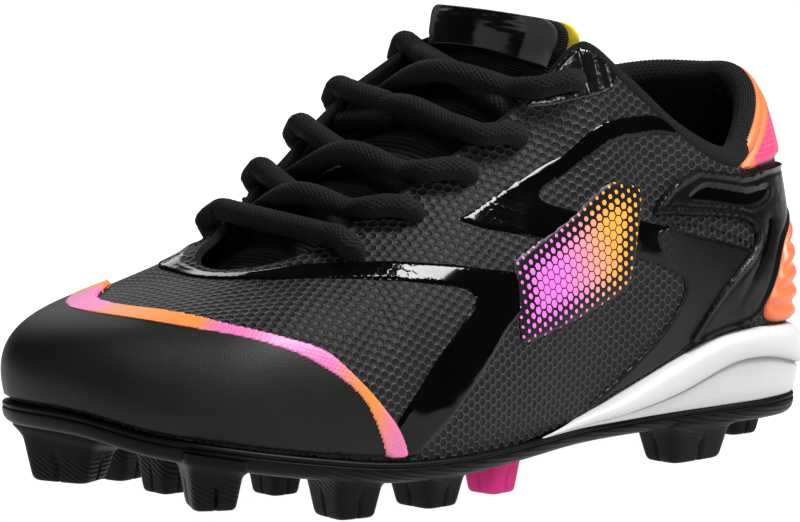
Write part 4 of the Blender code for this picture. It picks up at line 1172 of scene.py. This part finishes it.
def accent_finish():
    """A plain field of raised hexagons that shrink towards its borders, pink in front, orange behind."""
    finish = Finish("accent_print", Roughness=0.42, Specular_IOR_Level=0.25)
    u, v = finish.uv()
    s, t = finish.value("outer_s"), finish.value("place_t")
    border = hexagons(u, v, HEX_PITCH)
    wear = finish.noise([u, v], 0.4, 3.0)
    fade = (s + t * 0.8 + wear * 0.3).ramp(7.9, 9.4)
    size = finish.value("inset").ramp(-1.0, 9.0) * 0.30 + 0.14
    dot = (size - border).ramp(-0.02, 0.02)
    warm = finish.mix(fade, colour(236, 109, 210), colour(249, 160, 60))
    finish.set("Base Color", finish.mix(dot, (0.004, 0.004, 0.0043), warm))
    finish.relief(dot * 0.12 + wear * 0.03)
    return finish.material


def seams(thread):
    """Rows of stitching: along the throat and round the counter's arm."""
    for side, turned in (("outer", np.array), ("inner", inner)):
        throat = ((3.6, .952), (4.25, .957), (5.4, .960), (6.45, .963), (7.5, .965))
        stitches(f"throat_stitches_{side}", turned(throat), thread, "upper_synthetic")
        counter_edge = ((9.92, .500), (10.7, .545), (11.5, .555), (11.95, .50), (11.5, .38), (10.9, .22), (10.4, .10))
        stitches(f"counter_stitches_{side}", turned(counter_edge), thread, "upper_synthetic", pitch=2.2 * MM)


# The sole


def ring_loop(s, profile):
    """A profile of (out, height) points, each given for every s, carried round the sole edge."""
    return np.stack([foot_ring(s, out, height) for out, height in profile], axis=1)


# Side of the heel foam, as (level, out): level 1 is its groove and 2 its top; out is in SOLE_LIP.
FOAM_PROFILE = (
    (0, -2), (0, .80), (.05, .97), (.3, 1.15), (.7, 1.35), (.86, 1.41), (.92, 1.38), (.95, 1.22), (.975, 1.12),
    (.995, 1.15), (1.005, 1.35), (1.02, 1.72), (1.05, 1.88), (1.12, 1.98), (1.3, 2.07), (1.5, 2.06), (1.66, 1.96),
    (1.8, 1.70), (1.90, 1.30), (1.96, .92), (2.0, .4), (2, -2), (0, -2),
)


def midsole_foam(finish):
    """The heel foam: its profile swept from the outer arch round the heel to the inner arch."""
    s = np.linspace(7.32, 22.68, 361)
    groove = 0.28 + 0.34 * np.exp(-(((np.abs(s - HEEL) - 3.4) / 1.6) ** 2))
    low, high = plate_top(s) + 0.1 * MM, foot_height(s) - 0.1 * MM
    swell = smooth((high - low) / HEEL_STACK * 2.5)
    profile = []
    for level, out in FOAM_PROFILE:
        share = groove * level if level < 1 else groove + (1 - groove) * (level - 1)
        profile.append((SOLE_LIP * (0.7 + (out - 0.7) * swell), low + (high - low) * share))
    points = ring_loop(s, profile)
    level = np.array(FOAM_PROFILE)[None, :, 0]
    # Painted shade along the groove, kept at the foam's points as its groove value.
    shade = np.exp(-(((level - 0.985) / 0.03) ** 2)) * smooth((high - low) / (4 * MM) - 0.3)[:, None]
    around = np.interp(s, CHART_S, AROUND)[:, None] / MM
    grid_piece(
        "midsole_foam", points, finish, "midsole_foam", (around, points[..., 2] / MM),
        values={"groove": shade}, replaces=("midsole",), crease=65,
    )


def between(left, right, dish, count):
    """A face across the shoe between two edges, sunk by dish at its middle."""
    v = np.linspace(0, 1, count)[None, :, None]
    face = left[:, None] * (1 - v) + right[:, None] * v
    sunk = dish * smooth(np.linalg.norm(right - left, axis=-1) / BALL_WIDTH * 2)
    return face - Z_AXIS * (sunk[:, None, None] * 4 * v * (1 - v))


def insole_sheet(finish):
    """The insole: a dished face across the shoe over a second one a thickness below."""
    outer, inside = np.linspace(0.02, HEEL - 0.02, 161), np.linspace(COUNT - 0.02, HEEL + 0.02, 161)
    dish = FOOTBED_DISH * smooth(column("stack", outer) * 1.5)
    rings = [foot_ring(s, -INSOLE_INSET * 0.6, foot_height(s) + INSOLE_THICKNESS) for s in (outer, inside)]
    top = between(rings[0], rings[1], dish, 41)
    low = between(rings[1], rings[0], dish, 41) - Z_AXIS * INSOLE_THICKNESS
    loop = np.concatenate([top, low, top[:, :1]], axis=1)[::-1]
    uv = (loop[..., 0] / MM, loop[..., 1] / MM)
    grid_piece("insole_sheet", loop, finish, "insole_cloth", uv, replaces=("insole",), crease=50)


# Side of the outsole plate, as (share of its height, out in SOLE_LIP).
PLATE_PROFILE = (
    (0.0, -1.0), (0.0, -.5), (.05, .0), (.15, .45), (.3, .8), (.5, .96), (.66, 1.0), (.70, .95), (.73, .80),
    (.76, .80), (.79, .95), (.82, 1.0), (.9, .97), (.97, .82), (1.0, .55), (1.0, -1.0),
)


def outsole_plate(finish):
    """The plate in three sheets: its moulded rim, its underside and the face that carries the upper."""
    s = np.linspace(0, COUNT, 581)
    bottom, top = plate_bottom(s), plate_top(s) - 0.1 * MM
    points = ring_loop(s, [(SOLE_LIP * out, bottom + (top - bottom) * share) for share, out in PLATE_PROFILE])
    grid_piece("outsole_rim", points, finish, "outsole_rubber", (s[:, None] * 20, points[..., 2] / MM), crease=60)
    outer, inside = np.linspace(0, HEEL, 301), np.linspace(COUNT, HEEL, 301)
    rings = [foot_ring(s, -SOLE_LIP, plate_bottom(s)) for s in (inside, outer)]
    under = between(rings[0], rings[1], np.zeros(301), 81)[::-1]
    rib = np.sin(under[..., 1] / MM * 2 * np.pi / 5.5) * smooth((0.045 - np.abs(under[..., 1] - 0.045)) / 0.012)
    inset = np.minimum(np.linspace(0, 1, 81), np.linspace(1, 0, 81))[None]
    under[..., 2] += 0.5 * MM * rib * smooth((inset - 0.08) / 0.08)
    grid_piece("outsole_under", under, finish, "outsole_rubber", (under[..., 0] / MM, under[..., 1] / MM))
    rings = [foot_ring(s, -SOLE_LIP, plate_top(s) - 0.1 * MM) for s in (outer, inside)]
    over = between(rings[0], rings[1], np.zeros(301), 5)[::-1]
    grid_piece("outsole_over", over, finish, "outsole_rubber", (over[..., 0] / MM, over[..., 1] / MM))


# Studs: centre in shares of BALL_WIDTH and SHOE_LENGTH, width and length in shares of BALL_WIDTH, turn in degrees.
STUDS = {
    "toe_inner": (-0.140, -0.385, 0.215, 0.150, 22),
    "toe_outer": (0.330, -0.350, 0.190, 0.145, -28),
    "front_middle": (-0.045, -0.290, 0.130, 0.110, 0),
    "front_inner": (-0.345, -0.262, 0.170, 0.140, 12),
    "front_outer": (0.385, -0.196, 0.175, 0.145, -6),
    "ball_middle": (0.010, -0.165, 0.130, 0.110, 0),
    "ball_inner": (-0.345, -0.140, 0.165, 0.140, -6),
    "ball_outer": (0.390, -0.090, 0.170, 0.140, 4),
    "waist_inner": (-0.250, -0.030, 0.130, 0.120, -14),
    "heel_outer": (0.275, 0.300, 0.150, 0.240, 5),
    "heel_inner": (-0.245, 0.300, 0.150, 0.240, -3),
    "heel_back": (0.025, 0.455, 0.180, 0.120, 0),
}
ACCENT_STUD = (0.345, 0.012, 0.125, 0.115, 8)
STUD_TAPER = 0.76
LEVEL = 1.6 * MM
STUD_LEVELS = np.array([-.30, -.16, -.07, 0, .05, .10, .16, .3, .5, .7, .84, .91, .95, .98, 1.0, 1.0, 1.0])[:, None]
STUD_CLOSING = np.array([1, 1, 1, 1, 1, 1, 1, 1, 1, 1, 1, .99, .97, .94, .88, .5, 0.0])[:, None]


def underside_at(along):
    """Height of the plate's underside at a place along the shoe."""
    s = np.linspace(0, HEEL, 241)
    return np.interp(along, foot_ring(s, 0.0, 0.0)[:, 1], plate_bottom(s))


def stud(name, row, finish, slot, **more):
    """A tapered stud: rings of a rounded rectangle from its flared root down to its rounded ground edge, with a
    short upright cut in the middle of each face."""
    across, along, width, length, turn = row
    x, y = across * BALL_WIDTH + SHIFT[0], along * SHOE_LENGTH + SHIFT[1]
    under = underside_at(y)
    ground = max(under - STUD_HEIGHT - LEVEL, 0.0)
    a = np.linspace(0, 2 * np.pi, 145)[None]
    power = 6.0
    square = (np.abs(np.cos(a)) ** power + np.abs(np.sin(a)) ** power) ** (-1 / power)
    level = STUD_LEVELS
    flare = 0.20 * np.exp(-((np.maximum(level, -0.1) + 0.1) / 0.13) ** 2)
    size = 1 - (1 - STUD_TAPER) * np.clip(level, 0, 1) + flare
    from_middle = np.mod(a + np.pi / 4, np.pi / 2) - np.pi / 4
    cut = np.exp(-((from_middle / 0.075) ** 4)) * smooth((level - 0.34) / 0.1) * (STUD_CLOSING > 0.6)
    half = size * STUD_CLOSING * square * (1 - 0.12 * cut) * BALL_WIDTH / 2
    px, py = half * np.cos(a) * width, half * np.sin(a) * length
    angle = math.radians(turn)
    qx, qy = px * math.cos(angle) - py * math.sin(angle), px * math.sin(angle) + py * math.cos(angle)
    slope = underside_at(y + qy) - under
    z = under * (1 - level) + ground * level + slope * (1 - np.clip(level, 0, 1))
    points = np.stack([x + qx, y + qy, np.maximum(z, 0)], axis=-1)[::-1]
    grid_piece(name, points, finish, slot, (np.degrees(a) / 10, points[..., 2] / MM), crease=70, **more)


# The tongue

TONGUE = (
    (-0.262, 0.385, 0.160, 0.035, 0.0020, -0.010),
    (-0.215, 0.435, 0.190, 0.052, 0.0025, -0.010),
    (-0.155, 0.530, 0.224, 0.072, 0.0030, -0.014),
    (-0.080, 0.645, 0.262, 0.082, 0.0030, -0.030),
    (0.005, 0.765, 0.273, 0.090, 0.0032, -0.037),
    (0.070, 0.885, 0.264, 0.096, 0.0036, -0.050),
    (0.103, 0.985, 0.235, 0.101, 0.0042, -0.041),
    (0.116, 1.058, 0.245, 0.106, 0.0046, -0.045),
    (0.122, 1.118, 0.284, 0.110, 0.0042, -0.036),
)
TONGUE_INNER_DROP = 0.6
LABEL_FROM = 0.83  # where the laces rise over the label, in tongue lengths
LABEL_FOOT = 0.79  # the label's lower edge


def tongue_rows(along):
    """The tongue's table and its slope at shares of its length."""
    rows = np.array(TONGUE)
    step = along * (len(rows) - 1)
    first = np.clip(np.floor(step).astype(int), 0, len(rows) - 2)
    f = (step - first)[..., None]
    a, b, c, d = (rows[np.clip(first + k, 0, len(rows) - 1)] for k in (-1, 0, 1, 2))
    row = b + 0.5 * f * (c - a + f * (2 * a - 5 * b + 4 * c - d + f * (3 * (b - c) + d - a)))
    slope = 0.5 * (c - a + f * (2 * (2 * a - 5 * b + 4 * c - d) + f * 3 * (3 * (b - c) + d - a)))
    return row, slope


def tongue_face(across, along, depth):
    """The tongue's outer face, moved inwards by depth: a curve up the middle whose edges drop away behind it."""
    row, slope = tongue_rows(along)
    run = unit(np.stack([slope[..., 0] * SHOE_LENGTH, slope[..., 1] * THROAT_HEIGHT], axis=-1))
    side = np.where(across < 0, TONGUE_INNER_DROP, 1.0)
    sunk = row[..., 3] * BALL_WIDTH * side * across**2 + depth
    x = (row[..., 5] + row[..., 2] * across) * BALL_WIDTH
    y = row[..., 0] * SHOE_LENGTH + run[..., 1] * sunk
    z = STUD_HEIGHT + PLATE_THICKNESS + row[..., 1] * THROAT_HEIGHT - run[..., 0] * sunk
    return np.stack([x, y, z], axis=-1) + SHIFT


def tongue_thickness(across, along):
    """Thickness from the table, thinning with the square of the distance from the middle."""
    rows = np.array(TONGUE)
    thick = np.interp(along, np.linspace(0, 1, len(rows)), rows[:, 4])
    return thick * (0.55 + 0.45 * (1 - across**2))


def tongue_slab(name, across, along, near, far, finish, slot, counts=(81, 161), **more):
    """A sheet of the tongue between two depths, rounded at its side edges and closed at its ends."""
    a = np.linspace(*across, counts[0])[None]
    b = np.linspace(*along, counts[1])[:, None]
    share = np.linspace(-1, 1, counts[0])[None]
    a = a * (1 - 0.34 * np.clip((b - 0.86) / 0.15, 0, 1) ** 2.2)
    end = np.minimum(1, np.minimum(b - along[0], along[1] - b) / (along[1] - along[0]) / 0.02)
    side_edge = np.sqrt(1 - np.clip(np.abs(share) - 0.95, 0, 0.05) ** 2 / 0.05**2 * 0.9)
    round_off = side_edge * (0.4 + 0.6 * np.sqrt(np.clip(end, 0, 1)))
    middle, half = (near(a, b) + far(a, b)) / 2, (far(a, b) - near(a, b)) / 2 * round_off
    top, low = tongue_face(a, b, middle - half), tongue_face(a, b, middle + half)
    loop = np.concatenate([top, low[:, ::-1], top[:, :1]], axis=1)
    caps = [((row + np.concatenate([row[:, ::-1][:, 1:], row[:, :1]], axis=1)) / 2) for row in (loop[:1], loop[-1:])]
    points = np.concatenate([caps[0], loop, caps[1]])
    a = np.linspace(*across, counts[0])[None]
    width = np.concatenate([a, a[:, ::-1], a[:, :1]], axis=1) * 20
    length = np.concatenate([b[:1], b, b[-1:]]) * 125
    grid_piece(name, points[::-1], finish, slot, (width, length[::-1]), crease=65, **more)


def tongue_knit(finish):
    """The tongue itself, in ribbed knit."""
    def near(a, b):
        """The face arches between the laces, and is ribbed across."""
        rib = 0.16 * MM * np.sin(2 * np.pi * (b * 125 - 1.6 * a**2) / 1.25) * (b < 0.86)
        pressed = TONGUE_PRESSED * smooth((LABEL_FROM + 0.02 - b) / 0.05) * smooth(b / 0.08)
        return pressed - 0.35 * MM - rib + 0 * a

    grid = (61, 501)
    tongue_slab(
        "tongue_knit", (-1, 1), (0, 1), near, tongue_thickness, finish, "tongue_knit", grid, replaces=("tongue",)
    )


# Laces

# Lace holes from toe to top: place along the shell and height in it, outer side and inner side.
EYELETS = (
    (4.25, 0.895, 25.40, 0.895), (5.40, 0.915, 24.35, 0.915), (6.45, 0.925, 23.25, 0.925),
    (7.45, 0.930, 22.35, 0.930), (8.70, 0.925, 21.35, 0.925),
)
LACE_FLAT = 0.90
TONGUE_PRESSED = 1.6 * MM  # how far the laces press the tongue's face in


def lace_hole(row, side):
    """Where a strand slants over the throat's edge, lies on the eyestay, and dips down into its hole."""
    at, height = EYELETS[row][2 * side], EYELETS[row][2 * side + 1]
    clear = LACE * LACE_FLAT / 2
    lean = 0.0 if side else -(0.30, 0.50, 0.55, 0.55, 0.60)[row]
    s = at + lean * np.array([1.0, 0.62, 0.25, 0.05, 0.0])
    t = np.array([1.0, 0.97, height + 0.016, height + 0.004, height - 0.002])
    out = np.array([clear - 0.4 * MM, clear + 0.1 * MM, clear, clear - 1.7 * MM, -1.5 * MM])
    return shell_offset(s, t, out)


def on_tongue(points, lift):
    """Points drawn out, where they lie too low, until a strand's middle clears the tongue's face by its radius and
    lift. Each point is first matched with the place of the tongue that lies nearest to it."""
    points = np.array(points)
    along = np.linspace(0, 1, 401)[None]
    row = tongue_rows(along)[0]
    across = ((points[:, :1] - SHIFT[0]) / BALL_WIDTH - row[..., 5]) / row[..., 2]
    face = tongue_face(across, np.broadcast_to(along, across.shape), 0.0)
    best = np.argmin(np.linalg.norm(face - points[:, None], axis=-1), axis=1)
    pick = np.arange(len(points))
    a, b = across[pick, best], along[0, best]
    ground = tongue_face(a, b, 0.0)
    normal = unit(ground - tongue_face(a, b, MM))
    over = ((points - ground) * normal).sum(1)
    label = 0.9 * MM * smooth((b - LABEL_FROM + 0.04) / 0.04)
    need = LACE * LACE_FLAT / 2 + 0.35 * MM + lift + label - TONGUE_PRESSED * (b < LABEL_FROM)
    return points + normal * np.maximum(need - over, 0)[:, None]


def under_edge(row, side, back=0.0):
    """A point below the throat's edge beside a hole, under the eyestay."""
    at = EYELETS[row][2 * side] + back * (1 if side == 0 else -1)
    return shell_offset(at, 0.97, -WALL - LACE * 0.45)


def lace_piece(name, path, finish, replaces):
    """A braided strand: an oval section whose radius swells with its plaits."""
    length = np.concatenate([[0], np.cumsum(np.linalg.norm(np.diff(path, axis=0), axis=1))]) / MM
    a = np.linspace(0, 2 * np.pi, 25)[None]
    round_mm = a / (2 * np.pi) * 16.0
    plait = np.maximum(
        np.sin((round_mm + length[:, None]) * np.pi / 1.0), np.sin((round_mm - length[:, None]) * np.pi / 1.0)
    )
    radius = LACE / 2 * 1.08 + 0.05 * MM * (plait - 0.5)
    points = tube_grid(path, radius, 24, flat=LACE_FLAT)
    ends = [(points[k] * 0 + points[k].mean(axis=0))[None] for k in (0, -1)]
    points = np.concatenate([ends[0], points, ends[1]])
    length = np.concatenate([length[:1], length, length[-1:]])
    grid_piece(name, points[:, ::-1], finish, "lace_cord", (round_mm[:, ::-1], length[:, None]), replaces=replaces)


def chord(start, end, count=9):
    """Even points on the straight line from start to end."""
    return start + (end - start) * np.linspace(0, 1, count)[:, None]


def laces(finish):
    """A bar at the lowest holes, then a crossing to each higher row; between the third and fourth rows the two
    strands turn back in the middle instead."""
    first, last = lace_hole(0, 1), lace_hole(0, 0)
    middle = on_tongue(chord(first[0], last[0])[1:-1], 0.0)
    lace_piece("lace_row_0", curve([*first[::-1], *middle, *last], 330), finish, ("lace_bar",))
    for row in (1, 2, 4):
        for side in (0, 1):
            end = lace_hole(row, side)
            start = under_edge(row - 1, 1 - side, 0.25)
            line = chord(start, end[0], 13)[1:-1]
            share = np.linspace(0, 1, 13)[1:-1]
            hump = LACE * LACE_FLAT * 0.96 * np.exp(-(((share - 0.5) / 0.32) ** 2)) * (side == 0)
            line = on_tongue(line, hump)
            lace_piece(f"lace_row_{row}_{side}", curve([start, *line, *end], 330), finish, (f"lace_crossing_{row}",))
    for side in (0, 1):
        end = lace_hole(3, side)
        low = under_edge(2, side, 0.55)
        kept = (0.45, 0.66)[side]
        reach_in = end[0] * kept + lace_hole(3, 1 - side)[0] * (1 - kept)
        reach_low = reach_in + (low - end[0]) * 0.42
        out = on_tongue(chord(end[0], reach_in, 6)[1:], np.array([0, .15, .4, .5, .5]) * LACE * LACE_FLAT)[::-1]
        back = on_tongue(chord(low, reach_low, 5)[1:], 0.0)
        turn = (out[0] + back[-1]) / 2 + (reach_in - end[0]) * 0.10
        path = [low, *back, turn, *out, *end]
        lace_piece(f"lace_turn_{side}", curve(path, 330), finish, ("lace_crossing_3",))


# Studio

IMAGE_WIDTH = 800
CAMERA_AZIMUTH = 50.54
CAMERA_ELEVATION = 8.10
CAMERA_DISTANCE = 1.863
CAMERA_FOCAL = 7667.0  # pixels
CAMERA_TARGET = (0.00063, 0.00025, 0.0527)
CAMERA_OFFSET = (-0.83, 0.24)  # pixels

# Softboxes: direction from the shoe as azimuth and elevation, distance, width and height in metres, and power.
SOFTBOXES = {
    "overhead_strip": (138, 60, 1.6, 0.42, 0.75, 44),
    "side_key": (76, 32, 1.8, 0.40, 0.45, 8),
    "front_fill": (-20, 30, 2.0, 1.40, 1.00, 3),
    "rear_fill": (-122, 22, 2.0, 0.80, 0.60, 4),
}


def direction(azimuth, elevation):
    """The unit vector at an azimuth from the front and an elevation, in degrees."""
    a, e = math.radians(azimuth), math.radians(elevation)
    return Vector((math.sin(a) * math.cos(e), -math.cos(a) * math.cos(e), math.sin(e)))


def studio():
    """World, softboxes, self-lit paper floor and camera."""
    scene = bpy.context.scene
    world = bpy.data.worlds.new("studio")
    world.use_nodes = True
    world.node_tree.nodes["Background"].inputs["Color"].default_value = (1, 1, 1, 1)
    world.node_tree.nodes["Background"].inputs["Strength"].default_value = 0.03
    scene.world = world
    for name, (azimuth, elevation, distance, width, height, power) in SOFTBOXES.items():
        light = bpy.data.lights.new(name, "AREA")
        light.shape = "RECTANGLE"
        light.size, light.size_y, light.energy = width, height, power
        box = bpy.data.objects.new(name, light)
        scene.collection.objects.link(box)
        towards = direction(azimuth, elevation)
        box.location = Vector((0, 0, 0.05)) + towards * distance
        box.rotation_mode = "QUATERNION"
        box.rotation_quaternion = towards.to_track_quat("Z", "Y")
    mesh = bpy.data.meshes.new("floor")
    mesh.from_pydata([(-6, -6, 0), (6, -6, 0), (6, 6, 0), (-6, 6, 0)], [], [(0, 1, 2, 3)])
    floor_paper = Finish("floor_paper", Base_Color=(0.22, 0.22, 0.22), Roughness=0.9, Specular_IOR_Level=0.1)
    floor_paper.set("Emission Color", (1.0, 1.0, 1.0))
    floor_paper.set("Emission Strength", 1.0)
    mesh.materials.append(floor_paper.material)
    floor = bpy.data.objects.new("floor", mesh)
    scene.collection.objects.link(floor)
    camera = bpy.data.objects.new("camera", bpy.data.cameras.new("camera"))
    scene.collection.objects.link(camera)
    back = direction(CAMERA_AZIMUTH, CAMERA_ELEVATION)
    right = direction(CAMERA_AZIMUTH + 90, 0)
    up = back.cross(right)
    pixel = CAMERA_DISTANCE / CAMERA_FOCAL
    target = Vector(CAMERA_TARGET) + Vector(SHIFT)
    target += (up * CAMERA_OFFSET[1] - right * CAMERA_OFFSET[0]) * pixel
    camera.location = target + back * CAMERA_DISTANCE
    camera.rotation_mode = "QUATERNION"
    camera.rotation_quaternion = back.to_track_quat("Z", "Y")
    camera.data.sensor_width = 36
    camera.data.lens = CAMERA_FOCAL / IMAGE_WIDTH * 36
    camera.data.clip_end = 50
    scene.camera = camera
    scene.view_settings.view_transform = "Standard"


# The shoe

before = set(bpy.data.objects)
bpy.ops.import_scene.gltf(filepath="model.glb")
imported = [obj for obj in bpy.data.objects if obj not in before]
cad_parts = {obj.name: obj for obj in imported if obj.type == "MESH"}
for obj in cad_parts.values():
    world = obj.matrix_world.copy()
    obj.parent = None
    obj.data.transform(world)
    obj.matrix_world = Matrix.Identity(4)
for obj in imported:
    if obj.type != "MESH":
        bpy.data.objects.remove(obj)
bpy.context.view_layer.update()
SHIFT = packed_shift()

cloth, film, lining, cord = cloth_finish(), film_finish(), mesh_finish(), cord_finish()
knit, counter, leg, tab = knit_finish(), counter_finish(), leg_finish(), tab_finish()
rubber = rubber_finish("outsole_moulded", (0.0012, 0.0012, 0.0014), (0.006, 0.006, 0.0064), 0.45)
accent_rubber = rubber_finish("accent_moulded", colour(190, 24, 106), colour(214, 60, 136), 0.36)

upper_cloth(cloth)
upper_edge(lining)
upper_inside(lining)
collar_binding(knit_finish("collar_knit", 0.8))

patch(
    "toe_guard", STRIPE_TOP, 0.8 * MM, film_height(TOE_GUARD, 0.9 * MM), cap_finish(), "toe_cap_film",
    replaces=("toe_cap",),
)
stripe_line = np.concatenate([STRIPE_TOP, STRIPE_LOW[::-1]])
patch("toe_stripe", stripe_line, 0.5 * MM, film_height(TOE_PRINT, 0.35 * MM), stripe_finish(), "toe_cap_film")
vamp_line = np.concatenate([round_toe(VAMP_TOP), VAMP_LOW, inner(VAMP_LOW)[1:]])
patch("vamp_film", vamp_line, 0.6 * MM, film_height(FILM, 0.5 * MM), film, "upper_synthetic", on_relief=True)
for side, turned in (("outer", np.array), ("inner", inner)):
    for name, outline, step, height, finish in (
        ("side_film", FILM_SIDE, 0.6, film_height(FILM, 0.5 * MM), film),
        ("leg_film", LEG, 0.6, film_height(LEG_FILM, 0.5 * MM), leg),
        ("reinforcement", REINFORCEMENT, 0.5, reinforcement_height, reinforcement_finish()),
        ("accent_field", ACCENT, 0.7, film_height(ACCENT_PRINT, 0.4 * MM), accent_finish()),
    ):
        patch(f"{name}_{side}", turned(outline), step * MM, height, finish, "upper_synthetic", on_relief=True)
counter_line = np.concatenate([both(COUNTER_FRONT), both(COUNTER_REAR)[::-1]])
patch(
    "counter_shell", counter_line, 0.6 * MM, counter_height, counter, "counter_plastic", values=counter_values,
    replaces=("heel_counter",),
)
tab_line = np.concatenate([both(HEEL_TAB_TOP), both(HEEL_TAB_LOW)[::-1]])
patch("heel_tab_cloth", tab_line, 0.8 * MM, tab_height, tab, "heel_tab_film", replaces=("heel_tab",))
heel_tab_roll(tab)
panel_line = np.concatenate([both(HEEL_PANEL_TOP), both(HEEL_PANEL_LOW)[::-1]])
patch(
    "heel_panel_ribs", panel_line, 0.6 * MM, panel_height, panel_finish(), "heel_panel_film",
    values={"rib": panel_rib}, replaces=("heel_panel",),
)
seams(cord)

midsole_foam(foam_finish())
insole_sheet(mesh_finish("insole_cloth", 1.2))
outsole_plate(rubber)
for stud_name, stud_row in STUDS.items():
    stud(f"stud_{stud_name}", stud_row, rubber, "outsole_rubber", replaces=("outsole",))
stud("stud_accent", ACCENT_STUD, accent_rubber, "accent_rubber", replaces=("accent_stud",))

tongue_knit(knit)


def behind_tongue(more):
    """A depth that lies a little further in than the back of the tongue."""
    return lambda a, b: tongue_thickness(np.clip(a, -1, 1), np.clip(b, 0, 1)) + more


def before_tongue(more):
    """A depth that lies a little in front of the tongue."""
    return lambda a, b: -more + 0 * a * b


tongue_slab(
    "tongue_yellow", (-1.05, 1.05), (0.6, 1.014), behind_tongue(0.1 * MM), behind_tongue(1.3 * MM),
    yellow_finish(), "lining_cloth", replaces=("tongue_lining",),
)
tongue_slab(
    "tongue_label_film", (-0.86, 0.96), (LABEL_FOOT, 0.99), before_tongue(1.2 * MM), before_tongue(0.1 * MM),
    label_finish(), "label_film", replaces=("tongue_label",),
)
laces(cord)
studio()
